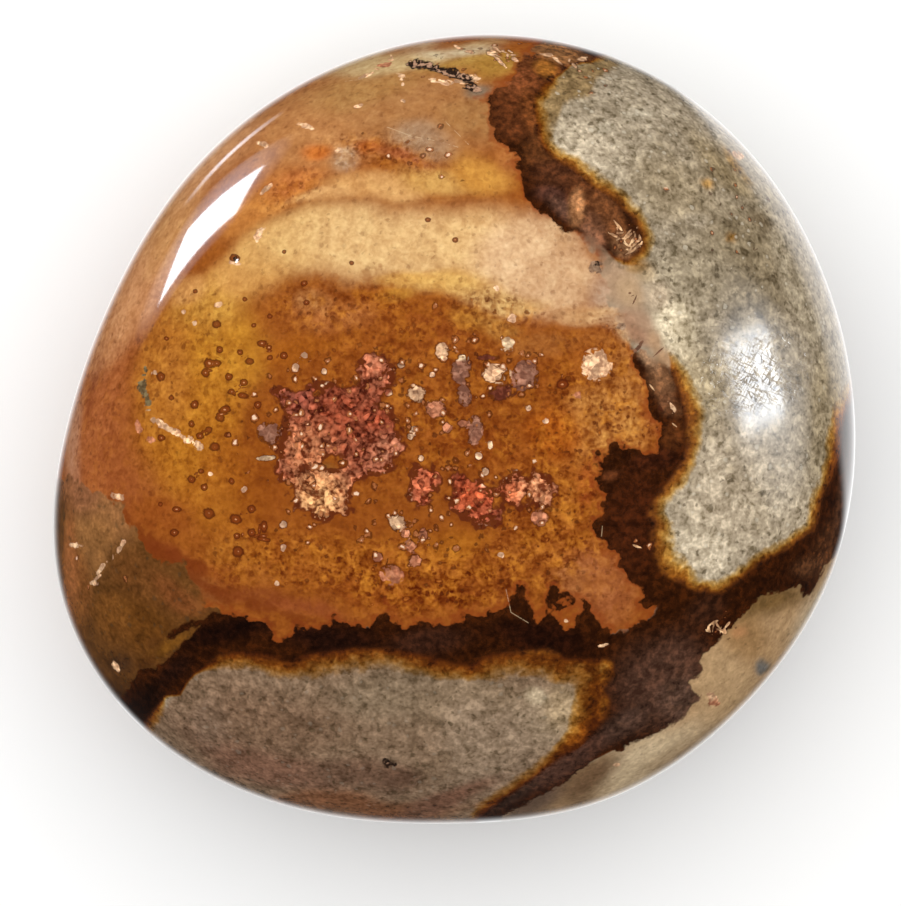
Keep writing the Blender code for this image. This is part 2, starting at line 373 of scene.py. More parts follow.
# Share of the small cells that hold a sparkling grain
sparkleShares = {
    "base": 0.0,
    "spots": (
        (330, 430, 90, 70, 0, 0.26), (430, 400, 60, 60, 0, 0.30), (500, 380, 60, 40, 0, 0.20),
        (290, 520, 40, 26, 0, 0.22), (400, 530, 50, 40, 0, 0.26), (480, 500, 80, 40, 0, 0.26),
        (400, 150, 70, 26, 8, 0.12), (470, 62, 60, 18, 0, 0.18), (590, 75, 22, 12, 0, 0.3),
        (628, 240, 16, 18, 0, 0.4), (720, 628, 14, 12, 0, 0.45), (660, 405, 12, 26, 0, 0.10),
        (740, 200, 60, 60, 0, 0.07), (110, 565, 34, 30, -40, 0.06), (640, 546, 10, 8, 0, 0.3),
    ),
}
# Strength of the fine hatching in the polish
scratchedShares = {
    "base": 0.0,
    "spots": ((424, 147, 34, 17, 14, 0.6), (345, 165, 16, 14, 0, 0.3), (758, 372, 34, 46, 60, 0.8)),
}
# Millimetres by which the edges of the ochre and the veins are softer
mellowEdges = {
    "base": 0.0,
    "spots": (
        (598, 248, 28, 13, 30, 0.45), (634, 258, 18, 10, 0, 0.35), (628, 336, 18, 16, 30, 0.45),
        (650, 362, 14, 14, 0, 0.30), (192, 580, 22, 10, 35, 0.35),
    ),
}

# Outlines of the red crystal clusters, and the hole in the largest
clusters = (
    (
        (365, 350), (377, 352), (388, 359), (387, 372), (393, 384), (384, 396), (380, 405), (393, 419),
        (398, 438), (406, 446), (399, 457), (390, 465), (380, 472), (368, 474), (354, 482), (352, 489),
        (348, 500), (350, 514), (334, 512), (319, 519), (309, 516), (296, 509), (291, 500), (292, 489),
        (288, 480), (276, 472), (282, 459), (284, 445), (291, 419), (283, 406), (275, 399), (274, 392),
        (291, 391), (306, 390), (311, 381), (317, 386), (317, 394), (329, 389), (350, 384), (357, 378),
        (355, 372), (361, 366),
    ),
    (
        (412, 472), (420, 466), (432, 468), (441, 472), (441, 484), (434, 488), (430, 498), (428, 508),
        (420, 507), (415, 498), (412, 486),
    ),
    (
        (450, 478), (458, 470), (466, 472), (472, 482), (480, 488), (490, 490), (496, 500), (503, 509),
        (503, 519), (492, 520), (477, 521), (466, 514), (454, 506), (450, 496),
    ),
    (
        (492, 492), (505, 484), (512, 476), (520, 474), (528, 480), (532, 472), (541, 474), (546, 480),
        (556, 486), (560, 492), (552, 502), (542, 506), (534, 500), (524, 498), (518, 506), (508, 500),
    ),
)
clusterHole = ((320, 458), (334, 455), (343, 462), (340, 471), (327, 473), (320, 467))
# Their tints: pixel, radius in pixels and colour
clusterBase = (162, 86, 60)
clusterTints = (
    (372, 366, 22, (186, 110, 78)), (335, 418, 34, (142, 66, 42)), (385, 424, 20, (144, 62, 38)),
    (306, 448, 24, (196, 122, 82)), (320, 500, 26, (240, 178, 118)), (388, 452, 18, (196, 124, 92)),
    (300, 398, 16, (132, 66, 50)), (426, 484, 22, (206, 108, 72)), (470, 496, 22, (204, 92, 54)),
    (508, 492, 16, (198, 102, 62)), (538, 488, 20, (224, 152, 106)),
)
clusterReach = 0.25  # millimetres past their outlines to which the tints go

# Single grains and flecks by colour: pixel, half-length, half-width and turn in degrees
flecks = {
    # pale flecks; the long streak at (169, 428) and the marks on the lower vein at (603, 644) and (566, 620)
    # are painted highlights
    (236, 190, 148): (
        (442, 352, 8, 6, 70), (495, 374, 12, 8, -6), (595, 365, 15, 15, 20), (397, 522, 8, 7, 40),
        (416, 394, 9, 8, 20), (169, 428, 17, 3.4, 33), (190, 440, 3.5, 3.5, 0), (200, 446, 5, 4, 60),
        (120, 496, 6, 3.5, 20), (236, 264, 5, 2, 10), (262, 232, 7, 2.5, -40), (258, 240, 2.2, 5, 0),
        (220, 305, 4, 3, -30), (366, 78, 8, 1.8, -20), (445, 85, 5, 2.4, 10), (359, 108, 4, 1.8, -15),
        (461, 84, 7, 2.0, 10), (469, 54, 4, 1.4, 10), (457, 49, 4, 1.2, 30), (496, 51, 6, 1.2, 35),
        (499, 63, 9, 1.5, 45), (490, 56, 4, 1.8, 10), (510, 54, 3, 1.2, 20), (514, 61, 4, 2.0, 30),
        (546, 57, 7, 1.3, 10), (556, 62, 5, 1.4, 40), (574, 68, 4, 1.6, 50), (582, 61, 5, 2.0, -10),
        (473, 80, 9, 3.0, 8), (433, 82, 4, 2.2, 0), (402, 78, 4, 2.2, 0), (404, 103, 3, 2.4, 0),
        (393, 62, 6, 1.2, 70), (603, 644, 5, 2.0, -10), (566, 620, 3, 2.4, 0), (616, 763, 4, 2, 0),
        (711, 695, 6, 3, 30), (122, 548, 8, 2.6, -60), (103, 568, 8, 3, -50), (95, 582, 4, 2.6, 0),
        (78, 545, 6, 2.6, 0), (118, 666, 6, 2.6, 60), (268, 190, 7, 2.4, -38), (307, 128, 8, 3, 20),
        (341, 152, 5, 3, 0), (264, 146, 6, 2.6, 20), (736, 157, 6, 4, 30), (672, 408, 5, 2.4, 50),
    ),
    (198, 128, 94): (
        (540, 518, 8, 7, 30), (436, 409, 9, 8, 30), (447, 428, 4.5, 3.6, 80), (464, 424, 5, 3.5, 0),
        (577, 396, 4, 3.5, 0), (392, 574, 11, 9, 30), (415, 560, 6, 5, 0), (411, 545, 5, 4, 0),
        (386, 67, 8, 2, -10), (140, 427, 6, 3.4, 75), (153, 440, 4, 3.4, 0), (712, 702, 6, 3.5, 0),
        (406, 533, 5, 4, 30), (424, 534, 4, 5, 0), (378, 556, 4, 4, 0),
    ),
    (160, 110, 88): (
        (461, 371, 9, 11, 10), (464, 396, 6, 9, -10), (525, 376, 12, 14, 10), (476, 429, 6, 12, 0),
        (474, 440, 5, 5, 0), (270, 433, 11, 10, 20),
    ),
    (122, 62, 44): ((502, 393, 12, 6, -8), (487, 358, 8, 2.4, 0)),
    (124, 84, 62): (
        (637, 348, 9, 2.0, -52), (658, 352, 8, 0.7, -42), (634, 300, 6, 0.7, -65), (629, 294, 2.4, 1.4, 0),
    ),
    (150, 120, 96): ((595, 268, 7, 6, 0), (621, 327, 4.2, 3.8, 0)),
    (110, 98, 70): ((144, 388, 7.5, 4.2, 80), (150, 402, 5.5, 2.8, 75), (147, 370, 3.6, 2, 80)),
    # pale gold strokes at the upper vein's tip and beside the veins: painted glints
    (226, 180, 134): (
        (618, 228, 7, 1.2, 50), (626, 236, 6, 1.1, -50), (624, 244, 7, 1.2, 40), (631, 243, 5, 2.0, -60),
        (636, 248, 6, 1.4, -40), (631, 252, 7, 1.1, -30), (639, 240, 4, 1.2, 80), (612, 236, 5, 1.0, 30),
        (651, 388, 5, 1.0, 50), (673, 425, 4, 0.8, 40), (636, 546, 5, 1.1, 20), (712, 622, 5, 1.4, -30),
        (720, 630, 5, 1.2, 30), (726, 624, 4, 1.1, -50), (707, 630, 4, 1.2, 10),
    ),
    (220, 188, 150): ((507, 345, 7, 6, 20), (490, 445, 3, 4, 0), (268, 458, 9, 2.4, 0), (462, 360, 5, 4, 0)),
}
# Small painted glints, all round: pixel and radius
paintedGlintTint = (234, 190, 152)
paintedGlints = (
    (296, 368, 3.4), (305, 356, 3), (325, 372, 3), (389, 393, 3.4), (401, 366, 3), (432, 375, 2.5),
    (528, 408, 3), (545, 421, 2.8), (534, 461, 2.8), (485, 471, 3.4), (478, 456, 3.4), (421, 458, 3),
    (411, 437, 3.4), (414, 429, 2.5), (501, 554, 3.2), (284, 524, 3.4), (496, 289, 3), (512, 319, 4),
    (157, 373, 2.2), (196, 324, 3), (185, 313, 2.2), (245, 489, 2.4), (212, 474, 2.4), (284, 548, 3),
    (403, 87, 2.2), (278, 582, 2.4),
)

# Dark red-brown dots, laid the same way
dots = (
    (162, 377, 5.5, 4.2, 60), (196, 405, 4.6, 3.8, 80), (211, 364, 6, 4.5, 20), (207, 373, 5, 4.5, 80),
    (218, 364, 4.6, 4, 0), (218, 325, 4.4, 4, 0), (163, 438, 3.6, 3.4, 0), (221, 418, 5, 4.5, 0),
    (210, 430, 4, 3.6, 0), (216, 447, 5.5, 4.2, 0), (202, 436, 4.5, 3.8, 0), (193, 479, 4, 4, 0),
    (202, 471, 3, 2.8, 0), (206, 487, 4, 3.8, 0), (210, 513, 6.5, 6, 0), (178, 509, 5, 3, 0),
    (176, 532, 4.4, 4, 0), (162, 504, 2.4, 2.4, 0), (237, 519, 6, 5.6, 0), (239, 551, 6, 5.8, 0),
    (236, 259, 5, 4, 0), (305, 284, 3.4, 3, 0), (307, 303, 3, 3, 0), (352, 264, 2.6, 2.4, 0),
    (285, 253, 2.4, 2.2, 0), (246, 300, 2.6, 2.4, 0), (271, 317, 2.6, 2.4, 0), (255, 326, 2.6, 2.4, 0),
    (263, 344, 5, 3.2, 0), (270, 348, 3, 2.6, 0), (241, 353, 3.4, 3.2, 0), (221, 350, 3.8, 3.4, 0),
    (251, 362, 5, 3.6, 0), (230, 377, 3.8, 3.6, 0), (245, 383, 4.2, 3.6, 0), (233, 392, 3.8, 3.2, 0),
    (244, 396, 5.5, 3.2, 10), (226, 410, 6, 3.8, -10), (259, 405, 4, 3.6, 0), (229, 435, 3.4, 3, 0),
    (285, 356, 4, 3.8, 0), (271, 358, 3.2, 3, 0), (233, 481, 3.8, 2.8, 70), (253, 509, 5, 4, 0),
    (253, 532, 4.8, 4.4, 0), (238, 535, 3.4, 3.2, 0), (265, 526, 3.6, 6, 0), (265, 539, 7, 2.4, 10),
    (197, 292, 2.6, 2.4, 0), (173, 398, 3, 2.8, 0), (168, 339, 2.6, 2.2, 0), (562, 385, 6, 5, 0),
    (193, 424, 3, 3.6, 0), (428, 221, 3, 2.6, 0), (455, 241, 3, 2.6, 0), (413, 560, 5, 3, 0),
)

# The open crack near the top and the small pits, the deepest of them at its end: worked into the surface
crackLine = ((410, 65), (424, 65), (440, 71), (456, 76), (468, 80))
relief = {
    "crackHalfWidth": 4.3,  # pixels
    "crackFade": 1.5,  # pixels past its rim
    "crackDepth": 0.00020,  # metres
    # pixel, half-length, half-width, turn in degrees and depth in metres
    "pits": (
        (475, 90, 9, 4.5, 6, 0.00028), (162, 377, 5, 4.5, 0, 0.00012), (236, 259, 5, 4.5, 0, 0.00016),
        (210, 513, 6, 6, 0, 0.00010), (389, 762, 9, 6, 10, 0.00018), (595, 268, 7, 6, 0, 0.00008),
        (621, 327, 5, 4.5, 0, 0.00006), (593, 75, 9, 5, -20, 0.00014), (812, 550, 4, 4, 0, 0.00010),
        (239, 551, 6, 6, 0, 0.00010),
    ),
}
# The pits, painted dark inside as the shade of their hollows, as dots
shadedPits = (
    (475, 90, 9.5, 4.2, 6), (389, 762, 6, 4, 10), (596, 265, 3.4, 2.8, -20), (620, 326, 2.2, 2.0, 0),
    (236, 259, 3.6, 3.2, 0),
)

# Dark red lines at the lower left edge of the ochre: half-width in pixels and the line
redLines = (
    (2.8, (
        (119, 503), (127, 516), (137, 526), (145, 538), (150, 552), (160, 562), (182, 567), (196, 578),
        (213, 588), (232, 601), (250, 604), (264, 613), (284, 636),
    )),
    (2.6, ((214, 588), (240, 596), (268, 606), (300, 618), (330, 622))),
    (7.0, ((150, 543), (165, 554), (182, 558), (200, 566))),
)
# A thin dark streak that leaves the left arm of the vein
armStreak = (3.4, ((204, 622), (194, 622), (182, 629), (171, 635)))

# Scratches that catch the light: the pixels of their ends
scratchLines = (
    ((388, 130), (412, 138)), ((412, 138), (436, 144)), ((436, 144), (458, 149)),
    ((444, 121), (452, 128)), ((452, 128), (468, 147)), ((506, 588), (510, 612)),
    ((510, 612), (527, 620)), ((602, 526), (600, 536)), ((345, 84), (362, 82)),
)

faceLight = 1.15  # screen value of a white surface that faces up


def srgb(colour):
    # Screen value 0 to 255 turned into the linear value that the shader uses
    share = np.array(colour, float) / 255
    linear = np.where(share <= 0.04045, share / 12.92, ((share + 0.055) / 1.055) ** 2.4)
    return (*(float(value) for value in linear), 1.0)


def paint(colour):
    # The stone's own colour for a screen value, with the light on its face taken out
    return (*(value / faceLight for value in srgb(colour)[:3]), 1.0)


def smooth(low, high, value):
    # Soft step: 0 below low, 1 above high, and 3t^2 - 2t^3 between them
    t = np.clip((value - low) / (high - low), 0, 1)
    return t * t * (3 - 2 * t)


def cubeLattice(squares):
    # Grid points on the six sides of a cube from -1 to 1, each once, and the squares between them
    steps = np.arange(squares + 1)
    i, j = np.meshgrid(steps, steps, indexing="ij")
    sides = []
    for axis in range(3):
        for end in (0, squares):
            first, second = (axis + 1) % 3, (axis + 2) % 3
            if end == 0:
                first, second = second, first
            corner = np.zeros((squares + 1, squares + 1, 3), int)
            corner[..., axis] = end
            corner[..., first] = i
            corner[..., second] = j
            sides.append(corner)
    corners = np.array(sides)
    codes = corners @ np.array([1, squares + 1, (squares + 1) ** 2])
    _, kept, number = np.unique(codes, return_index=True, return_inverse=True)
    number = number.reshape(codes.shape)
    lattice = corners.reshape(-1, 3)[kept] * 2 / squares - 1
    around = (number[:, :-1, :-1], number[:, 1:, :-1], number[:, 1:, 1:], number[:, :-1, 1:])
    return lattice, np.stack(around, -1).reshape(-1, 4)


def rimRadius(angle):
    # Closed uniform cubic B-spline through the rim's radii
    radii = np.array(stone["rimRadii"])
    count = len(radii)
    spot = (angle / (2 * np.pi) * count) % count
    start = np.floor(spot).astype(int)
    t = spot - start
    before, here, after, beyond = (radii[(start + step) % count] for step in (-1, 0, 1, 2))
    blend = (1 - t) ** 3 * before + (3 * t**3 - 6 * t**2 + 4) * here
    return (blend + (-3 * t**3 + 3 * t**2 + 3 * t + 1) * after + t**3 * beyond) / 6


def swellHeight(direction):
    # Sum of round hills and hollows: height * exp(-(angle from the middle / half-width)^2)
    total = np.zeros(len(direction))
    for roundRim, aboveGirdle, halfWidth, height in stone["swells"]:
        turn, lift = np.radians(roundRim), np.radians(aboveGirdle)
        middle = np.array([np.cos(turn) * np.cos(lift), np.sin(turn) * np.cos(lift), np.sin(lift)])
        away = np.arccos(np.clip(direction @ middle, -1, 1)) / np.radians(halfWidth)
        total += height * np.exp(-away * away)
    return total


def stoneSurface(direction):
    # Superellipse from rim to crown or belly: reach = ((across/rim)^p + (|z|/h)^p)^(-1/p), plus the
    # swells, and the belly rolled into its flat
    x, y, z = direction.T
    rim = rimRadius(np.arctan2(y, x))
    up = z > 0
    halfHeight = np.where(up, stone["crownHeight"], stone["bellyDepth"])
    power = np.where(up, stone["crownFullness"], stone["bellyFullness"])
    reach = ((np.hypot(x, y) / rim) ** power + (abs(z) / halfHeight) ** power) ** (-1 / power)
    points = direction * (reach + swellHeight(direction))[:, None]
    above = points[:, 2] + stone["seatDepth"]
    overlap = np.maximum(stone["seatBlend"] - abs(above), 0) / stone["seatBlend"]
    points[:, 2] = np.maximum(above, 0) + overlap**2 * stone["seatBlend"] / 4
    return points


def fitToBox(points, low, high):
    # Stretches the points, by under a thousandth, so that their box is the part's own
    ownLow, ownHigh = points.min(0), points.max(0)
    return np.array(low) + (points - ownLow) / (ownHigh - ownLow) * (np.array(high) - np.array(low))


def cameraPlace():
    # Straight above the middle of the picture
    perMetre = picture["pixelsPerMillimetre"] * 1000
    x = (picture["width"] / 2 - picture["stoneCentre"][0]) / perMetre
    y = (picture["stoneCentre"][1] - picture["height"] / 2) / perMetre
    return np.array([x, y, stone["seatDepth"] + picture["cameraHeight"]])


def pictureCoordinates(points):
    # Pixel where the camera sees a point: centre + scale * offset * camera height / depth below it
    camera = cameraPlace()
    closer = picture["cameraHeight"] / (camera[2] - points[:, 2])
    scale = picture["pixelsPerMillimetre"] * 1000 * closer
    across = picture["width"] / 2 + scale * (points[:, 0] - camera[0])
    down = picture["height"] / 2 - scale * (points[:, 1] - camera[1])
    return np.stack([across, down], -1)


def nearestPoint(points, pixels, pixel):
    # Number of the face's point that lies nearest a pixel
    away = np.hypot(*(pixels - pixel).T)
    away[points[:, 2] < stone["seatDepth"]] = np.inf
    return int(np.argmin(away))


def markingCoordinates(points):
    # On the face they are the picture's pixels; below it they turn, shift and wander with depth
    pixels = pictureCoordinates(points)
    depth = smooth(0, 1, np.clip((belly["start"] - points[:, 2]) / belly["start"], 0, 1))
    middle = np.array(picture["stoneCentre"])
    angle = belly["turn"] * depth
    across, down = (pixels - middle).T
    turned = np.stack([across * np.cos(angle) - down * np.sin(angle),
                       across * np.sin(angle) + down * np.cos(angle)], -1)
    drift = wander(points, belly["waveLength"], belly["waveSize"], belly["seed"])
    turned += depth[:, None] * (np.array(belly["shift"]) + drift)
    return turned + middle, depth


def nearestSide(pixels, corners):
    # Pixels to the nearest point of the line from corner to corner
    nearest = np.full(len(pixels), np.inf)
    for start, end in zip(corners[:-1], corners[1:]):
        side = end - start
        offset = pixels - start
        t = np.clip(offset @ side / (side @ side), 0, 1)
        nearest = np.minimum(nearest, np.hypot(*(offset - t[:, None] * side).T))
    return nearest


def insideDistance(pixels, outline):
    # Millimetres to a closed outline, plus inside it and minus outside. A point is inside where a level
    # ray from it crosses the outline an odd number of times
    corners = np.array([*outline, outline[0]], float)
    inside = np.zeros(len(pixels), bool)
    for start, end in zip(corners[:-1], corners[1:]):
        crossed = (start[1] > pixels[:, 1]) != (end[1] > pixels[:, 1])
        across, down = (pixels - start).T
        width, rise = end - start
        inside ^= crossed & (across < down * width / (rise or 1.0))
    nearest = nearestSide(pixels, corners)
    return np.where(inside, nearest, -nearest) / picture["pixelsPerMillimetre"]


def lineDistance(pixels, halfWidth, line):
    # Millimetres inside a band of a half-width along a line
    return (halfWidth - nearestSide(pixels, np.array(line, float))) / picture["pixelsPerMillimetre"]


def ellipsePlace(pixels, across, down, halfLength, halfWidth, turn=0):
    # Places in an ellipse's own frame, where its rim has the radius 1
    angle = np.radians(turn)
    x, y = pixels[:, 0] - across, pixels[:, 1] - down
    along = (x * np.cos(angle) + y * np.sin(angle)) / halfLength
    return along, (y * np.cos(angle) - x * np.sin(angle)) / halfWidth


def spotHeight(pixels, across, down, halfLength, halfWidth, turn):
    # Millimetres inside an ellipse, as a parabola: (1 - (a/length)^2 - (b/width)^2) * width / 2
    along, beside = ellipsePlace(pixels, across, down, halfLength, halfWidth, turn)
    return (1 - along**2 - beside**2) * min(halfLength, halfWidth) / 2 / picture["pixelsPerMillimetre"]


def nearestSpot(pixels, spots):
    # Each point's place in the frame of the spot whose rim is nearest, with the millimetres to that rim,
    # and the spot's number. The shader measures the radius from it, so small spots stay round and sharp
    place = np.full((len(pixels), 3), noSpot)
    number = np.zeros(len(pixels), int)
    for index, spot in enumerate(spots):
        along, beside = ellipsePlace(pixels, *spot)
        away = (np.hypot(along, beside) - 1) * min(spot[2:4]) / picture["pixelsPerMillimetre"]
        closer = away < place[:, 2]
        place[closer] = np.stack([along, beside, away], -1)[closer]
        number[closer] = index
    return place, number


def highestSpot(pixels, spots):
    return np.max([spotHeight(pixels, *spot) for spot in spots], 0)


def wander(points, length, size, seed):
    # Pixel offsets that drift smoothly over the stone: a sum of sine waves along random headings
    chance = np.random.default_rng(seed)
    offset = np.zeros((len(points), 2))
    for _ in range(belly["waves"]):
        heading = chance.normal(size=3)
        heading /= np.linalg.norm(heading)
        phase = points @ heading * 2 * np.pi / (length * chance.uniform(0.6, 1.4))
        offset += np.sin(phase + chance.uniform(0, 2 * np.pi))[:, None] * chance.normal(size=2) * size
    return offset


def spotShare(pixels, across, down, halfLength, halfWidth, turn):
    # 1 in the middle of an ellipse and fading past its rim: exp(-(a^2 + b^2)^2)
    along, beside = ellipsePlace(pixels, across, down, halfLength, halfWidth, turn)
    return np.exp(-((along**2 + beside**2) ** 2))


def blend(below, share, above):
    # below * (1 - share) + above * share, for values and for colours
    if below.ndim > 1:
        share = share[:, None]
    return below * (1 - share) + np.array(above) * share


def softValues(pixels, values):
    result = np.full(len(pixels), values["base"])
    for *spot, value in values["spots"]:
        result = blend(result, spotShare(pixels, *spot), value)
    return result


def softTints(pixels, tints):
    colour = np.tile(paint(tints["base"]), (len(pixels), 1))
    for *spot, tint in tints["spots"]:
        colour = blend(colour, spotShare(pixels, *spot), paint(tint))
    return colour


def clusterColours(pixels):
    # Base colour leaning towards each tint by exp(-(distance / radius)^2)
    colour = np.tile(paint(clusterBase), (len(pixels), 1))
    for across, down, radius, tint in clusterTints:
        along, beside = ellipsePlace(pixels, across, down, radius, radius)
        colour = blend(colour, np.exp(-(along**2 + beside**2)), paint(tint))
    return colour


def fleckFields(pixels):
    # The nearest fleck or painted glint at each point, and its colour
    spots = [(spot, tint) for tint, group in flecks.items() for spot in group]
    spots += [((across, down, radius, radius, 0), paintedGlintTint) for across, down, radius in paintedGlints]
    place, number = nearestSpot(pixels, [spot for spot, tint in spots])
    return place, np.array([paint(tint) for spot, tint in spots])[number]


def groundFields(pixels, drifting):
    # Colour and grit of the ground under the ochre: grey, lower grey, olive and tan
    colour = softTints(drifting, groundTints)
    grit = np.ones(len(pixels))
    softness, bandSoftness = grounds["softness"], grounds["bandSoftness"]
    for name, (tints, ownGrit) in grounds["tintsAndGrit"].items():
        share = smooth(-softness, softness, insideDistance(pixels, zones[name]))
        colour = blend(colour, share, softTints(drifting, tints))
        grit = blend(grit, share, ownGrit)
    band = smooth(-bandSoftness, bandSoftness, insideDistance(drifting, zones["oliveBand"]))
    colour = blend(colour, band, paint(oliveBandTint))
    mauve = smooth(*grounds["mauveFades"], insideDistance(drifting, zones["mauveGap"]))
    return colour, grit * (1 - grounds["mauveSmoothing"] * mauve)


def markings(points):
    # Every marking as millimetres inside its outline, for the material to turn into ragged masks, and
    # the soft tints and values of each ground
    pixels, depth = markingCoordinates(points)
    onFace = depth < belly["faceEnd"]
    drifting = sum((wander(points, *drift) for drift in tintDrifts), pixels)
    fields = {name: insideDistance(pixels, zones[name]) for name in ("ochre", "deepOrange")}
    vein = [insideDistance(pixels, outline) for outline in veins.values()]
    vein += [lineDistance(pixels, *armStreak), highestSpot(pixels, veinPatches)]
    fields["vein"] = np.max(vein, 0)
    cluster = np.max([insideDistance(pixels, outline) for outline in clusters], 0)
    fields["cluster"] = np.minimum(cluster, -insideDistance(pixels, clusterHole))
    fields["open"] = np.maximum(lineDistance(pixels, relief["crackHalfWidth"], crackLine),
                                highestSpot(pixels, shadedPits))
    fields["redLine"] = np.max([lineDistance(pixels, *line) for line in redLines], 0)
    for name in ("cluster", "open", "redLine"):
        fields[name] = np.where(onFace, fields[name], noOutline)
    fleck, fleckTint = fleckFields(pixels)
    dot, _ = nearestSpot(pixels, dots)
    places = {"fleck": fleck, "dot": dot}
    for place in places.values():
        place[~onFace] = noSpot
    softFields = {"haloWidth": haloWidths, "granular": granularShares, "sparkle": sparkleShares,
                  "scratched": scratchedShares, "mellow": mellowEdges}
    fields.update((name, softValues(drifting, values)) for name, values in softFields.items())
    ground, fields["grit"] = groundFields(pixels, drifting)
    inCluster = fields["cluster"][:, None] > -clusterReach
    colours = {"crystalTint": np.where(inCluster, clusterColours(pixels), fleckTint), "groundTint": ground,
               "ochreTint": softTints(drifting, ochreTints), "veinTint": softTints(drifting, veinTints)}
    return fields, places, colours, onFace


def reliefDepth(points, onFace):
    # Metres to sink: a soft groove along the crack, and a bowl for each pit, depth * exp(-2 (a^2 + b^2))
    pixels = pictureCoordinates(points)
    crack = lineDistance(pixels, relief["crackHalfWidth"], crackLine) * picture["pixelsPerMillimetre"]
    depth = relief["crackDepth"] * smooth(-relief["crackFade"], relief["crackHalfWidth"], crack)
    for across, down, halfLength, halfWidth, turn, pitDepth in relief["pits"]:
        along, beside = ellipsePlace(pixels, across, down, halfLength, halfWidth, turn)
        depth = np.maximum(depth, pitDepth * np.exp(-2 * (along**2 + beside**2)))
    return depth * onFace


def newMesh(name, points, quads):
    mesh = bpy.data.meshes.new(name)
    mesh.vertices.add(len(points))
    mesh.vertices.foreach_set("co", points.astype(np.float32).ravel())
    mesh.loops.add(quads.size)
    mesh.loops.foreach_set("vertex_index", quads.astype(np.int32).ravel())
    mesh.polygons.add(len(quads))
    mesh.polygons.foreach_set("loop_start", np.arange(0, quads.size, 4, dtype=np.int32))
    mesh.update(calc_edges=True)
    mesh.shade_smooth()
    return mesh


def vertexNormals(mesh):
    normals = np.empty(len(mesh.vertices) * 3, np.float32)
    mesh.vertex_normals.foreach_get("vector", normals)
    return normals.reshape(-1, 3).astype(float)


def addLayers(mesh, kind, slot, layers):
    for name, values in layers.items():
        layer = mesh.attributes.new(name, kind, "POINT")
        layer.data.foreach_set(slot, values.astype(np.float32).ravel())


def mapCoordinates(lattice, quads):
    # Unfolds the cube's upper half into one wide rectangle and its lower half into the one below it:
    # a point goes out from the middle by (2 - z) / 2
    flat = lattice[:, :2] * ((2 - abs(lattice[:, 2])) / 2)[:, None]
    front = lattice[quads, 2].mean(1) > 0
    share, margin = stone["faceShare"], stone["mapMargin"]
    spread = 0.5 + flat[quads] * (0.5 - margin)
    spread[~front, :, 0] = 1 - spread[~front, :, 0]
    height = np.where(front, share, 1 - share)[:, None]
    base = np.where(front, 1 - share, 0)[:, None]
    spread[..., 1] = base + spread[..., 1] * height
    return spread.reshape(-1, 2)


def buildPebble():
    # z - row / (1 - row^2) * (1 - z^2) moves the girdle's row to the height 0 and leaves the ends
    lattice, quads = cubeLattice(stone["squares"])
    row = stone["girdleRow"]
    lattice[:, 2] -= row / (1 - row**2) * (1 - lattice[:, 2] ** 2)
    lattice[abs(lattice[:, 2]) < 1e-9, 2] = 0
    spread = np.tan(lattice * np.pi / 4)
    points = stoneSurface(spread / np.linalg.norm(spread, axis=1)[:, None])
    points = fitToBox(points, cadLow, cadHigh)
    fields, places, colours, onFace = markings(points)
    mesh = newMesh("polished_pebble", points, quads)
    sunk = points - vertexNormals(mesh) * reliefDepth(points, onFace)[:, None]
    mesh.vertices.foreach_set("co", sunk.astype(np.float32).ravel())
    mesh.update()
    addLayers(mesh, "FLOAT", "value", fields)
    addLayers(mesh, "FLOAT_VECTOR", "vector", places)
    addLayers(mesh, "FLOAT_COLOR", "color", colours)
    uvMap = mesh.uv_layers.new(name="OFBake")
    uvMap.uv.foreach_set("vector", mapCoordinates(lattice, quads).astype(np.float32).ravel())
    pebble = bpy.data.objects.new("polished_pebble", mesh)
    bpy.context.scene.collection.objects.link(pebble)
    return pebble, points


# Shader helpers: a node with its settings and inputs, where an input is a value or another node's socket
def addNode(tree, kind, inputs=None, **settings):
    node = tree.nodes.new(kind)
    for name, value in settings.items():
        setattr(node, name, value)
    for name, value in (inputs or {}).items():
        if isinstance(value, bpy.types.NodeSocket):
            tree.links.new(value, node.inputs[name])
        else:
            node.inputs[name].default_value = value
    return node


def useGroup(tree, group, inputs):
    return addNode(tree, "ShaderNodeGroup", inputs, node_tree=group).outputs


def maths(tree, operation, *values, clamp=False):
    node = addNode(tree, "ShaderNodeMath", dict(enumerate(values)), operation=operation, use_clamp=clamp)
    return node.outputs[0]


def chain(tree, operation, values):
    # The same operation from value to value
    result = values[0]
    for value in values[1:]:
        result = maths(tree, operation, result, value)
    return result


def times(tree, *values):
    return chain(tree, "MULTIPLY", values)


def highest(tree, *values):
    return chain(tree, "MAXIMUM", values)


def vectorMaths(tree, operation, *values):
    # A scale takes its factor at input 3, and lengths, distances and dot products leave by output 1
    sockets = (0, 3) if operation == "SCALE" else (0, 1)
    node = addNode(tree, "ShaderNodeVectorMath", dict(zip(sockets, values)), operation=operation)
    return node.outputs[1 if operation in ("LENGTH", "DISTANCE", "DOT_PRODUCT") else 0]


def softStep(tree, value, low, high, top=1.0):
    # 0 at low and top at high, where low may be the larger one
    inputs = {"Value": value, "From Min": low, "From Max": high, "To Max": top}
    return addNode(tree, "ShaderNodeMapRange", inputs, interpolation_type="SMOOTHSTEP").outputs[0]


def mix(tree, share, below, above, blend="MIX"):
    inputs = {0: share, 6: below, 7: above}
    return addNode(tree, "ShaderNodeMix", inputs, data_type="RGBA", blend_type=blend).outputs[2]


def noise(tree, place, scale, detail, roughness, output="Fac"):
    inputs = {"Vector": place, "Scale": scale, "Detail": detail, "Roughness": roughness}
    return addNode(tree, "ShaderNodeTexNoise", inputs).outputs[output]


def ramp(tree, value, *stops):
    # Colours at stops between 0 and 1
    node = addNode(tree, "ShaderNodeValToRGB", {"Fac": value})
    steps = node.color_ramp.elements
    while len(steps) < len(stops):
        steps.new(0.5)
    for step, (position, colour) in zip(steps, stops):
        step.position = position
    for step, (position, colour) in zip(steps, stops):
        step.color = colour
    return node.outputs["Color"]


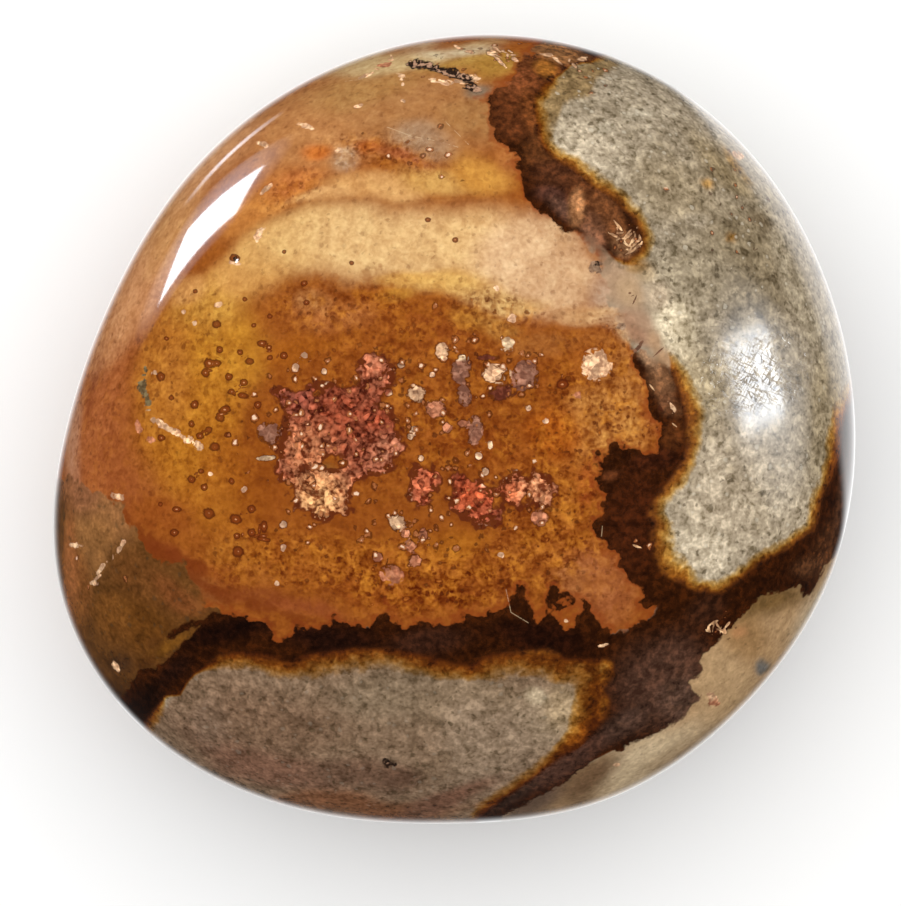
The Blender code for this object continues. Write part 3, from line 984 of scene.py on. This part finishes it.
def startGroup(name, inputs, outputs):
    # Inputs with their default values, where None stands for a vector
    group = bpy.data.node_groups.new(name, "ShaderNodeTree")
    for label, value in inputs.items():
        kind = "NodeSocketVector" if value is None else "NodeSocketFloat"
        socket = group.interface.new_socket(label, in_out="INPUT", socket_type=kind)
        if value is not None:
            socket.default_value = value
    for label in outputs:
        group.interface.new_socket(label, in_out="OUTPUT", socket_type="NodeSocketFloat")
    return group, group.nodes.new("NodeGroupInput").outputs, group.nodes.new("NodeGroupOutput").inputs


# What gives the stone its look. Sizes are millimetres, and strengths and shares run from 0 to 1
jasper = {
    # colours as the screen shows them in this light, 0 to 255
    "tones": {
        "greyGrainDark": (74, 60, 38), "greyGrainPale": (240, 228, 204), "deepOrange": (136, 66, 14),
        "blob": (112, 48, 12), "bead": (206, 124, 46), "net": (188, 114, 32), "blush": (140, 62, 22),
        "redLine": (112, 46, 14), "pinprick": (84, 40, 12), "dotRim": (88, 34, 10),
        "dotMiddle": (122, 54, 18), "dotGlint": (214, 150, 100), "outline": (64, 24, 10),
        "sparkle": (246, 210, 176), "granule": (180, 108, 60), "openShade": (46, 30, 20),
        "openMiddle": (190, 146, 116), "litScratch": (232, 202, 160), "clusterGround": (92, 36, 16),
    },
    # factors on a tint at stops of a noise, and for the halo from inside the vein out to clean ground
    "shades": {
        "ground": ((0.28, (0.40, 0.37, 0.30)), (0.43, (0.82, 0.80, 0.77)), (0.54, (1.05, 1.05, 1.05)),
                   (0.70, (1.55, 1.57, 1.58))),
        "cloud": ((0.34, (0.72, 0.70, 0.66)), (0.50, (1.0, 1.0, 1.0)), (0.66, (1.18, 1.19, 1.20))),
        "ochre": ((0.32, (0.46, 0.28, 0.16)), (0.44, (0.80, 0.72, 0.66)), (0.56, (1.14, 1.19, 1.25)),
                  (0.72, (1.58, 1.82, 2.05))),
        "mottle": ((0.36, (0.70, 0.60, 0.50)), (0.50, (1.0, 1.0, 1.0)), (0.64, (1.24, 1.42, 1.50))),
        "crystal": ((0.37, (0.26, 0.14, 0.10)), (0.46, (0.70, 0.58, 0.52)), (0.54, (1.20, 1.17, 1.12)),
                    (0.65, (1.70, 1.85, 1.88))),
        "vein": ((0.34, (0.46, 0.40, 0.36)), (0.50, (0.95, 0.95, 0.95)), (0.66, (1.9, 1.8, 1.7))),
        "halo": ((0.12, (0.11, 0.04, 0.02)), (0.32, (0.34, 0.11, 0.02)), (0.50, (0.60, 0.24, 0.03)),
                 (0.66, (0.90, 0.54, 0.13)), (0.80, (0.96, 0.74, 0.38)), (1.0, (1.0, 1.0, 1.0))),
    },
    # from a dot's middle out
    "dotTones": ((0.02, "dotGlint"), (0.16, "dotMiddle"), (0.50, "dotMiddle"), (0.75, "dotRim")),
    # noises: scale per millimetre, detail and roughness
    "clouds": (0.85, 2.5, 0.6),
    "grain": (1.9, 2.6, 0.68),
    "sand": (4.4, 0.0, 0.5),
    "bend": 0.45,  # how far the clouds push the grain and the cells
    "smallCells": 2.3,  # per millimetre
    "largeCells": 1.05,
    "cellDrift": 0.28,  # share of a cell's size by which the grain dents a spot
    # edges of the markings: softness, raggedness and strength
    "edges": {
        "deepOrange": (0.4, 3.2, 0.45),
        "redLine": (0.2, 0.9, 0.6),
        "cluster": (0.14, 1.5, 1.0),
        "clusterGround": (0.12, 1.5, 0.85),
        "open": (0.06, 0.35, 1.0),
    },
    "ochreRagged": 1.1,
    "mellowBase": 0.10,  # softness of the ochre and the veins where their edges aren't mellow
    "blushEdge": (0.25, 1.6),
    # how far these two go past the vein's and the clusters' outlines
    "blushReach": 0.35,
    "clusterGroundReach": 0.20,
    # spots in the cells: first chance and share of the cells, radius and softness in cells, strength,
    # with None for what a field gives
    "grains": {
        "greyDark": (0.0, 0.22, 0.06, 0.08, 0.55),
        "greyPale": (0.25, 0.20, 0.04, 0.10, 0.35),
        "coarse": (0.0, 0.45, 0.10, 0.14, 0.65),
        "blob": (0.0, 0.6, 0.08, 0.10, 0.75),
        "bead": (0.2, 0.4, 0.01, 0.06, 0.75),
        "pinprick": (0.35, 0.50, 0.045, 0.06, None),
        "largeDot": (0.70, 0.30, 0.10, 0.07, 0.8),
        "outline": (0.60, None, 0.22, 0.05, 0.6),
        "granule": (0.60, None, 0.11, 0.05, 0.75),
        "sparkle": (0.60, None, 0.03, 0.05, 0.9),
    },
    # dots and flecks: raggedness, radius and softness in their own radii, strength
    "shapes": {
        "dot": (0.35, 1.0, 0.14, 0.88),
        "fleckOutline": (0.8, 1.30, 0.20, None),
        "fleck": (0.8, 0.95, 0.14, 0.92),
    },
    "shapeReach": (0.15, 0.09),  # past their rims, where they are cut off
    "fleckTint": 0.38,  # share of its plain tint in a fleck
    # sums: what is added, then each value's weight
    "sums": {
        "broken": (-0.30, 1.0, 1.1),
        "sugar": (-0.165, 0.78, 0.30, 0.13, 0.12),
        "contrast": (0.17, 0.80),
        "pricked": (0.15, 0.6),
        "redLine": (0.0, 1.0, 0.6),
        "cellShade": (0.72, 0.5),
        "grownFrom": (0.62, -0.28),
        "veinRagged": (0.25, 0.75),
        "veinSoftness": (0.0, 1.0, 0.10),
        "veinEdge": (0.0, 1.0, 0.35),
        "haloDrift": (0.0, 0.6, 0.45),
        "haloLevel": (0.27, 0.44),
        "open": (0.0, 1.0, 0.32),
    },
    # soft steps: where they start, where they end, and their top where it isn't 1
    "steps": {
        "paleGrit": (0.85, 1.0),
        "netCells": (0.12, 0.24),
        "netClouds": (0.40, 0.66, 0.65),
        "blushTint": (0.14, 0.05, 0.6),
        "thickCluster": (-0.30, 0.55),
        "cellMiddle": (0.34, 0.08, 0.55),
        "grown": (-0.03, 0.04),
        "haloGrit": (0.62, 0.82),
        "outlined": (0.05, 0.15, 0.65),
        "openMiddle": (0.06, 0.16),
        "openGrain": (0.52, 0.60),
        "scratchGrain": (0.40, 0.52, 0.42),
    },
    "cellRim": 0.66,  # shade of a crystal's rim
    "veinShade": 0.9,
    "scratchWidth": (0.045, 0.008),  # from its line, where it ends and where it is full
    "hairTurns": (0.5, 2.1),  # radians
    "hairStretch": (0.6, 5.2, 1.5),
    "hairWidth": (0.036, 0.006),  # of the noise about its middle, in the same way
    "hairDepth": 0.0001,  # metres, as bump
    "hairStrength": 0.3,
    "roughness": {"polish": 0.07, "ground": 0.15, "open": 0.18, "hair": 0.5},
    "refraction": 1.54,
}


def raggedMaskGroup():
    # Mask = Strength * soft step of (Distance + Drift * Ragged) from -Softness to Softness
    inputs = {"Distance": 0.0, "Drift": 0.0, "Ragged": 0.2, "Softness": 0.05, "Strength": 1.0}
    group, given, made = startGroup("raggedMask", inputs, ["Mask"])
    edge = maths(group, "MULTIPLY_ADD", given["Drift"], given["Ragged"], given["Distance"])
    below = maths(group, "MULTIPLY", given["Softness"], -1.0)
    group.links.new(softStep(group, edge, below, given["Softness"], given["Strength"]), made["Mask"])
    return group


def ellipseGroup():
    # From a place in the nearest ellipse's own frame: its radius, moved by a drift, and a mask within Outer
    # radii. Places far from a rim are left out, because there they jump from one ellipse to the next
    inputs = {"Spot": None, "Drift": 0.0, "Ragged": 1.0, "Outer": 1.0, "Softness": 0.1, "Strength": 1.0}
    group, given, made = startGroup("ellipse", inputs, ["Radius", "Mask"])
    radius = vectorMaths(group, "LENGTH", vectorMaths(group, "MULTIPLY", given["Spot"], (1, 1, 0)))
    radius = maths(group, "MULTIPLY_ADD", given["Drift"], given["Ragged"], radius)
    away = addNode(group, "ShaderNodeSeparateXYZ", {0: given["Spot"]}).outputs["Z"]
    beyond = maths(group, "ADD", given["Outer"], given["Softness"])
    within = maths(group, "SUBTRACT", given["Outer"], given["Softness"])
    mask = softStep(group, radius, beyond, within, given["Strength"])
    group.links.new(radius, made["Radius"])
    group.links.new(times(group, mask, softStep(group, away, *jasper["shapeReach"])), made["Mask"])
    return group


def cellsGroup():
    # Voronoi cells: millimetres from a cell's own point over the cell's own size, from 0.5 to 1.5 and made
    # uneven by a drift, and two chances
    inputs = {"Place": None, "Scale": 1.0, "Drift": 0.0}
    group, given, made = startGroup("cells", inputs, ["Away", "Chance", "Shade"])
    cells = addNode(group, "ShaderNodeTexVoronoi", {"Vector": given["Place"], "Scale": given["Scale"]})
    parts = addNode(group, "ShaderNodeSeparateColor", {"Color": cells.outputs["Color"]}).outputs
    size = maths(group, "MULTIPLY", maths(group, "ADD", parts[1], 0.5), given["Scale"])
    away = maths(group, "DIVIDE", cells.outputs["Distance"], size)
    group.links.new(maths(group, "MULTIPLY_ADD", given["Drift"], jasper["cellDrift"], away), made["Away"])
    group.links.new(parts[0], made["Chance"])
    group.links.new(parts[2], made["Shade"])
    return group


def spotsGroup():
    # Round spots in the cells whose chance lies between From and From + Share, with a soft rim
    inputs = {"Away": 0.0, "Chance": 0.0, "From": 0.0, "Share": 0.2, "Radius": 0.1, "Softness": 0.04,
              "Strength": 1.0}
    group, given, made = startGroup("spots", inputs, ["Mask"])
    half = maths(group, "MULTIPLY", given["Share"], 0.5)
    chosen = maths(group, "COMPARE", given["Chance"], maths(group, "ADD", given["From"], half), half)
    rim = maths(group, "ADD", given["Radius"], given["Softness"])
    spot = softStep(group, given["Away"], rim, given["Radius"], given["Strength"])
    group.links.new(times(group, spot, chosen), made["Mask"])
    return group


def scratchGroup():
    # Mask = near the line from Start to Start + Line, by the distance to its nearest point
    group, given, made = startGroup("litScratch", {"Place": None, "Start": None, "Line": None}, ["Mask"])
    offset = vectorMaths(group, "SUBTRACT", given["Place"], given["Start"])
    across = vectorMaths(group, "DOT_PRODUCT", offset, given["Line"])
    whole = vectorMaths(group, "DOT_PRODUCT", given["Line"], given["Line"])
    t = maths(group, "DIVIDE", across, whole, clamp=True)
    away = vectorMaths(group, "DISTANCE", offset, vectorMaths(group, "SCALE", given["Line"], t))
    group.links.new(softStep(group, away, *jasper["scratchWidth"]), made["Mask"])
    return group


def hairlinesGroup():
    # Fine hatching in the polish: noise stretched along one heading and cut near its middle value
    group, given, made = startGroup("hairlines", {"Place": None, "Turn": 0.0}, ["Line"])
    turn = {"Vector": given["Place"], "Angle": given["Turn"]}
    turned = addNode(group, "ShaderNodeVectorRotate", turn, rotation_type="Z_AXIS").outputs[0]
    stretch = {"Vector": turned, "Scale": jasper["hairStretch"]}
    stretched = addNode(group, "ShaderNodeMapping", stretch).outputs[0]
    value = noise(group, stretched, 1.0, 0.0, 0.5)
    off = maths(group, "ABSOLUTE", maths(group, "SUBTRACT", value, 0.5))
    group.links.new(softStep(group, off, *jasper["hairWidth"]), made["Line"])
    return group


def jasperMaterial(points):
    material = bpy.data.materials.new("polishedJasper")
    material.use_nodes = True
    tree = material.node_tree
    tree.nodes.clear()
    raggedMask, cells, spots, ellipse = raggedMaskGroup(), cellsGroup(), spotsGroup(), ellipseGroup()
    litScratch, hairlines = scratchGroup(), hairlinesGroup()
    tone = {name: paint(colour) for name, colour in jasper["tones"].items()}
    edges = jasper["edges"]

    def summed(name, *values):
        # What is added, plus each value times its weight
        total, *weights = jasper["sums"][name]
        for value, weight in zip(values, weights):
            total = maths(tree, "MULTIPLY_ADD", value, weight, total)
        return total

    def stepped(value, name):
        return softStep(tree, value, *jasper["steps"][name])

    metres = addNode(tree, "ShaderNodeTexCoord").outputs["Object"]
    place = vectorMaths(tree, "SCALE", metres, 1000.0)
    clouds = noise(tree, place, *jasper["clouds"], "Color")
    middle, other, third = addNode(tree, "ShaderNodeSeparateColor", {"Color": clouds}).outputs
    bent = vectorMaths(tree, "ADD", place, vectorMaths(tree, "SCALE", clouds, jasper["bend"]))
    grain = noise(tree, bent, *jasper["grain"])
    # drifts run from -1 to 1 about the noises' middle
    middleDrift, otherDrift, grainDrift = (maths(tree, "MULTIPLY_ADD", value, 2.0, -1.0)
                                           for value in (middle, other, grain))
    small, large = (useGroup(tree, cells, {"Place": bent, "Scale": jasper[name], "Drift": grainDrift})
                    for name in ("smallCells", "largeCells"))
    # broken: the grain's drift with a cusp round each small cell
    broken = summed("broken", grainDrift, small["Away"])
    # sugar: the grain with finer sand and each cell's own shade, about the same middle
    sand = noise(tree, bent, *jasper["sand"])
    sugar = summed("sugar", grain, sand, small["Shade"], large["Shade"])

    def field(name, output="Fac"):
        return addNode(tree, "ShaderNodeAttribute", attribute_name=name).outputs[output]

    def tint(name):
        return field(name, "Color")

    def edge(distance, softness, ragged, strength=1.0, drift=middleDrift):
        return useGroup(tree, raggedMask, {
            "Distance": distance, "Drift": drift, "Ragged": ragged, "Softness": softness,
            "Strength": strength})["Mask"]

    def spotted(source, name, share=None, strength=None):
        start, ownShare, radius, softness, ownStrength = jasper["grains"][name]
        return useGroup(tree, spots, {
            "Away": source["Away"], "Chance": source["Chance"], "From": start,
            "Share": share or ownShare, "Radius": radius, "Softness": softness,
            "Strength": strength or ownStrength})["Mask"]

    def shape(name, size, strength=None):
        ragged, outer, softness, ownStrength = jasper["shapes"][size]
        return useGroup(tree, ellipse, {
            "Spot": field(name, "Vector"), "Drift": broken, "Ragged": ragged, "Outer": outer,
            "Softness": softness, "Strength": strength or ownStrength})

    def over(below, share, above):
        return mix(tree, share, below, above)

    def shades(value, name):
        return ramp(tree, value, *((at, (*shade, 1.0)) for at, shade in jasper["shades"][name]))

    def shaded(colour, shade, share=1.0):
        return mix(tree, share, colour, shade, "MULTIPLY")

    # Ground: grey, olive or tan, speckled by its grit
    grit, granular, sparkle = field("grit"), field("granular"), field("sparkle")
    cloudShade = shades(middle, "cloud")
    ground = shaded(tint("groundTint"), shades(sugar, "ground"), grit)
    ground = shaded(ground, cloudShade, grit)
    ground = over(ground, times(tree, spotted(large, "coarse"), granular, grit), tone["greyGrainDark"])
    ground = over(ground, times(tree, spotted(small, "greyDark"), grit), tone["greyGrainDark"])
    paleShare = times(tree, spotted(small, "greyPale"), stepped(grit, "paleGrit"))
    ground = over(ground, paleShare, tone["greyGrainPale"])

    # Ochre field: tints, deep orange, mottling, blobs with a lighter net, pinpricks and the red line
    vein = field("vein")
    contrast = summed("contrast", granular)
    deepOrange = edge(field("deepOrange"), *edges["deepOrange"], otherDrift)
    ochre = over(tint("ochreTint"), deepOrange, tone["deepOrange"])
    ochre = shaded(ochre, shades(other, "mottle"), contrast)
    net = times(tree, stepped(small["Away"], "netCells"), stepped(third, "netClouds"), granular)
    ochre = over(ochre, net, tone["net"])
    for name in ("blob", "bead"):
        ochre = over(ochre, times(tree, spotted(small, name), granular), tone[name])
    ochre = shaded(ochre, shades(sugar, "ochre"), contrast)
    pricked = summed("pricked", granular)
    ochre = over(ochre, spotted(small, "pinprick", strength=pricked), tone["pinprick"])
    ochre = over(ochre, times(tree, spotted(large, "largeDot"), granular), tone["dotRim"])
    blue = addNode(tree, "ShaderNodeSeparateColor", {"Color": tint("ochreTint")}).outputs[2]
    nearVein = maths(tree, "ADD", vein, jasper["blushReach"])
    blush = edge(nearVein, *jasper["blushEdge"], stepped(blue, "blushTint"))
    ochre = over(ochre, blush, tone["blush"])
    redLine = edge(summed("redLine", field("redLine"), grainDrift), *edges["redLine"])
    ochre = over(ochre, redLine, tone["redLine"])
    mellow = maths(tree, "ADD", field("mellow"), jasper["mellowBase"])
    ochreMask = edge(field("ochre"), mellow, jasper["ochreRagged"])
    colour = over(ground, ochreMask, ochre)

    # Clusters are crystals that thin out towards their rim, in a dark red ground
    cluster = field("cluster")
    nearCluster = maths(tree, "ADD", cluster, jasper["clusterGroundReach"])
    colour = over(colour, edge(nearCluster, *edges["clusterGround"]), tone["clusterGround"])
    cellMiddle = maths(tree, "ADD", stepped(small["Away"], "cellMiddle"), jasper["cellRim"])
    cellShade = times(tree, summed("cellShade", small["Shade"]), cellMiddle)
    crystal = shaded(shaded(tint("crystalTint"), shades(sugar, "crystal")), cellShade)
    grownFrom = summed("grownFrom", stepped(cluster, "thickCluster"))
    grown = stepped(maths(tree, "SUBTRACT", grain, grownFrom), "grown")
    colour = over(colour, times(tree, grown, edge(cluster, *edges["cluster"])), crystal)

    # Dots, from a glint in the middle to a dark rim
    dot = shape("dot", "dot")
    dotTone = ramp(tree, dot["Radius"], *((at, tone[name]) for at, name in jasper["dotTones"]))
    colour = over(colour, dot["Mask"], dotTone)

    # Dark veins over everything, more ragged against the ochre, and a golden halo on the ground beside them
    groundSide = times(tree, stepped(grit, "haloGrit"), maths(tree, "SUBTRACT", 1.0, ochreMask))
    veinMask = edge(summed("veinEdge", vein, grainDrift), summed("veinSoftness", mellow, groundSide),
                    summed("veinRagged", ochreMask))
    veinColour = shaded(tint("veinTint"), shades(grain, "vein"), jasper["veinShade"])
    veinColour = shaded(veinColour, cloudShade)
    inHalos = maths(tree, "DIVIDE", vein, field("haloWidth"))
    outward = maths(tree, "SUBTRACT", summed("haloDrift", otherDrift, grainDrift), inHalos)
    halo = shades(summed("haloLevel", outward), "halo")
    colour = over(shaded(colour, halo, groundSide), veinMask, veinColour)

    # Flecks, with the painted highlights and glints among them, lie over the veins too
    outlined = shape("fleck", "fleckOutline", stepped(sparkle, "outlined"))
    colour = over(colour, outlined["Mask"], tone["outline"])
    paler = over(crystal, jasper["fleckTint"], tint("crystalTint"))
    colour = over(colour, shape("fleck", "fleck")["Mask"], paler)

    # Sparkling grains, the open crack and pits with painted shade inside them, and scratches
    for name in ("outline", "granule", "sparkle"):
        colour = over(colour, spotted(small, name, share=sparkle), tone[name])
    openField = summed("open", field("open"), grainDrift)
    opened = edge(openField, *edges["open"])
    crystals = times(tree, stepped(openField, "openMiddle"), stepped(grain, "openGrain"))
    # the dark inside the crack and pits is painted shade; the paler crystals in the middle are the stone's
    # own
    colour = over(colour, opened, over(tone["openShade"], crystals, tone["openMiddle"]))
    hairs = highest(tree, *(useGroup(tree, hairlines, {"Place": place, "Turn": turn})["Line"]
                            for turn in jasper["hairTurns"]))
    hairs = times(tree, hairs, field("scratched"))
    pixels = pictureCoordinates(points)
    lines = []
    for ends in scratchLines:
        start, end = (points[nearestPoint(points, pixels, pixel)] * 1000 for pixel in ends)
        given = {"Place": place, "Start": tuple(start), "Line": tuple(end - start)}
        lines.append(useGroup(tree, litScratch, given)["Mask"])
    # the scratches are painted pale where they catch the light
    scratched = times(tree, highest(tree, *lines), stepped(grain, "scratchGrain"))
    colour = over(colour, scratched, tone["litScratch"])

    # Polish: glassy on the ochre and the veins, a little duller on the ground, rough in the crack
    polish = jasper["roughness"]
    groundShare = maths(tree, "SUBTRACT", 1.0, highest(tree, ochreMask, veinMask))
    duller = maths(tree, "MULTIPLY_ADD", groundShare, polish["ground"] - polish["polish"], polish["polish"])
    rough = highest(tree, duller, times(tree, opened, polish["open"]), times(tree, hairs, polish["hair"]))
    bump = addNode(tree, "ShaderNodeBump", {
        "Strength": jasper["hairStrength"], "Distance": jasper["hairDepth"],
        "Height": maths(tree, "SUBTRACT", 0.0, hairs)})
    shader = addNode(tree, "ShaderNodeBsdfPrincipled", {
        "Base Color": colour, "Roughness": rough, "Normal": bump.outputs[0],
        "IOR": jasper["refraction"], "Specular IOR Level": 0.5})
    output = addNode(tree, "ShaderNodeOutputMaterial")
    tree.links.new(shader.outputs[0], output.inputs["Surface"])
    return material


# Studio: a pale floor and surround, a soft fill that lights without being mirrored, and windows with
# their glow that only the polish mirrors
studio = {
    "floorRadius": 3.0,
    "floorSides": 96,
    "floorColour": (0.90, 0.90, 0.895),
    "floorRoughness": 0.9,
    "floorSpecular": 0.1,
    "backdrop": 0.95,
    "ambient": 0.40,  # even light from all round
    "dim": 0.028,  # what the polish mirrors from most of the room
    "bright": 1.60,  # what it mirrors from low down
    "brightHeights": (-1.05, -0.82),  # of a direction, between which the bright part fades
    "brightHeading": (0.927, 0.375),  # side on which the bright part reaches higher
    "brightWidth": (0.80, 0.97),  # cosines from that heading, between which it fades in
    "brightRise": 0.45,  # how much higher
    "windowColour": (0.88, 0.96, 1.05),
    "panels": {
        # pixel of the face where the panel is mirrored, distance, width, height, radiance, roll in degrees,
        # degrees over which it fades out towards its rim or 0, mirrored
        "overheadFill": ((440, 300), 1.0, 2.6, 2.2, 1.18, 0, 0, False),
        "leftWindow": ((214, 220), 0.7, 0.168, 0.248, 15.0, 50, 0, True),
        "leftGlow": ((217, 210), 0.7, 0.34, 0.46, 3.8, 50, 17, True),
        "leftStrip": ((231, 156), 0.7, 0.20, 0.055, 4.5, 0, 8, True),
        "rightWindow": ((757, 380), 0.7, 0.255, 0.185, 13.0, 98, 0, True),
        "rightGlow": ((774, 396), 0.7, 0.56, 0.46, 3.2, 60, 24, True),
    },
}


def addCamera():
    data = bpy.data.cameras.new("camera")
    data.sensor_width = picture["sensor"]
    widthAtGirdle = picture["width"] / picture["pixelsPerMillimetre"] / 1000
    data.lens = picture["sensor"] * picture["cameraHeight"] / widthAtGirdle
    data.clip_start = 0.01  # metres
    camera = bpy.data.objects.new("camera", data)
    camera.location = cameraPlace()
    bpy.context.scene.collection.objects.link(camera)
    bpy.context.scene.camera = camera


def addPanel(name, points, normals, pixel, distance, width, height, radiance, roll, fading, isMirrored):
    # Stands where the camera's ray would go after it is mirrored at the pixel's point of the stone:
    # ray - 2 * (ray . normal) * normal. A lamp's energy is its radiance * 4 * its area
    nearest = nearestPoint(points, pictureCoordinates(points), pixel)
    point, normal = points[nearest], normals[nearest]
    ray = point - cameraPlace()
    ray /= np.linalg.norm(ray)
    mirrored = Vector(ray - 2 * (ray @ normal) * normal)
    data = bpy.data.lights.new(name, "AREA")
    data.shape = "RECTANGLE"
    data.size = width
    data.size_y = height
    data.energy = radiance * 4 * width * height
    if fading:
        # its middle keeps its radiance: energy * (tan(angle) - angle) / tan(angle)
        angle = np.radians(fading)
        data.spread = 2 * angle
        data.energy *= 1 - angle / np.tan(angle)
    panel = bpy.data.objects.new(name, data)
    panel.location = Vector(point) + mirrored * distance
    turn = mirrored.to_track_quat("Z", "Y").to_euler()
    turn.rotate_axis("Z", np.radians(roll))
    panel.rotation_euler = turn
    data.color = studio["windowColour"] if isMirrored else (1, 1, 1)
    panel.visible_camera = False
    panel.visible_glossy = isMirrored
    panel.visible_diffuse = not isMirrored
    bpy.context.scene.collection.objects.link(panel)


def addFloor():
    sides = studio["floorSides"]
    angle = np.linspace(0, 2 * np.pi, sides, endpoint=False)
    rim = np.stack([np.cos(angle), np.sin(angle), np.zeros(sides)], -1) * studio["floorRadius"]
    mesh = bpy.data.meshes.new("floor")
    mesh.from_pydata(rim.tolist(), [], [list(range(sides))])
    floor = bpy.data.objects.new("floor", mesh)
    material = bpy.data.materials.new("paleFloor")
    material.use_nodes = True
    shader = material.node_tree.nodes["Principled BSDF"]
    shader.inputs["Base Color"].default_value = (*studio["floorColour"], 1)
    shader.inputs["Roughness"].default_value = studio["floorRoughness"]
    shader.inputs["Specular IOR Level"].default_value = studio["floorSpecular"]
    mesh.materials.append(material)
    floor.visible_glossy = False
    bpy.context.scene.collection.objects.link(floor)


def addSurround():
    # Even soft light for matt surfaces. The polish mirrors a dim room that turns bright below it on one
    # side, and the camera sees an even pale tone
    world = bpy.data.worlds.new("surround")
    world.use_nodes = True
    tree = world.node_tree
    tree.nodes.clear()
    direction = addNode(tree, "ShaderNodeTexCoord").outputs["Generated"]
    height = addNode(tree, "ShaderNodeSeparateXYZ", {0: direction}).outputs["Z"]
    level = vectorMaths(tree, "NORMALIZE", vectorMaths(tree, "MULTIPLY", direction, (1, 1, 0)))
    heading = vectorMaths(tree, "DOT_PRODUCT", level, (*studio["brightHeading"], 0))
    side = softStep(tree, heading, *studio["brightWidth"])
    lowered = maths(tree, "MULTIPLY_ADD", side, -studio["brightRise"], height)
    share = maths(tree, "SUBTRACT", 1.0, softStep(tree, lowered, *studio["brightHeights"]))
    strength = maths(tree, "MULTIPLY_ADD", share, studio["bright"] - studio["dim"], studio["dim"])
    path = addNode(tree, "ShaderNodeLightPath").outputs
    for ray, own in (("Is Diffuse Ray", studio["ambient"]), ("Is Camera Ray", studio["backdrop"])):
        strength = addNode(tree, "ShaderNodeMix", {0: path[ray], 2: strength, 3: own}).outputs[0]
    background = addNode(tree, "ShaderNodeBackground", {"Color": (1, 1, 1, 1), "Strength": strength})
    output = addNode(tree, "ShaderNodeOutputWorld")
    tree.links.new(background.outputs[0], output.inputs["Surface"])
    bpy.context.scene.world = world


pebble, points = buildPebble()
print("pebble:", len(pebble.data.vertices), "points,", len(pebble.data.polygons), "squares")
pebble.data.materials.append(jasperMaterial(points))
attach(pebble, "root")
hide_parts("pebble")
print("finish: polished jasper")

bpy.context.scene.view_settings.view_transform = "Standard"
addCamera()
addFloor()
addSurround()
normals = vertexNormals(pebble.data)
for name, panel in studio["panels"].items():
    addPanel(name, points, normals, *panel)
print("studio: camera, floor, surround and", len(studio["panels"]), "panels")
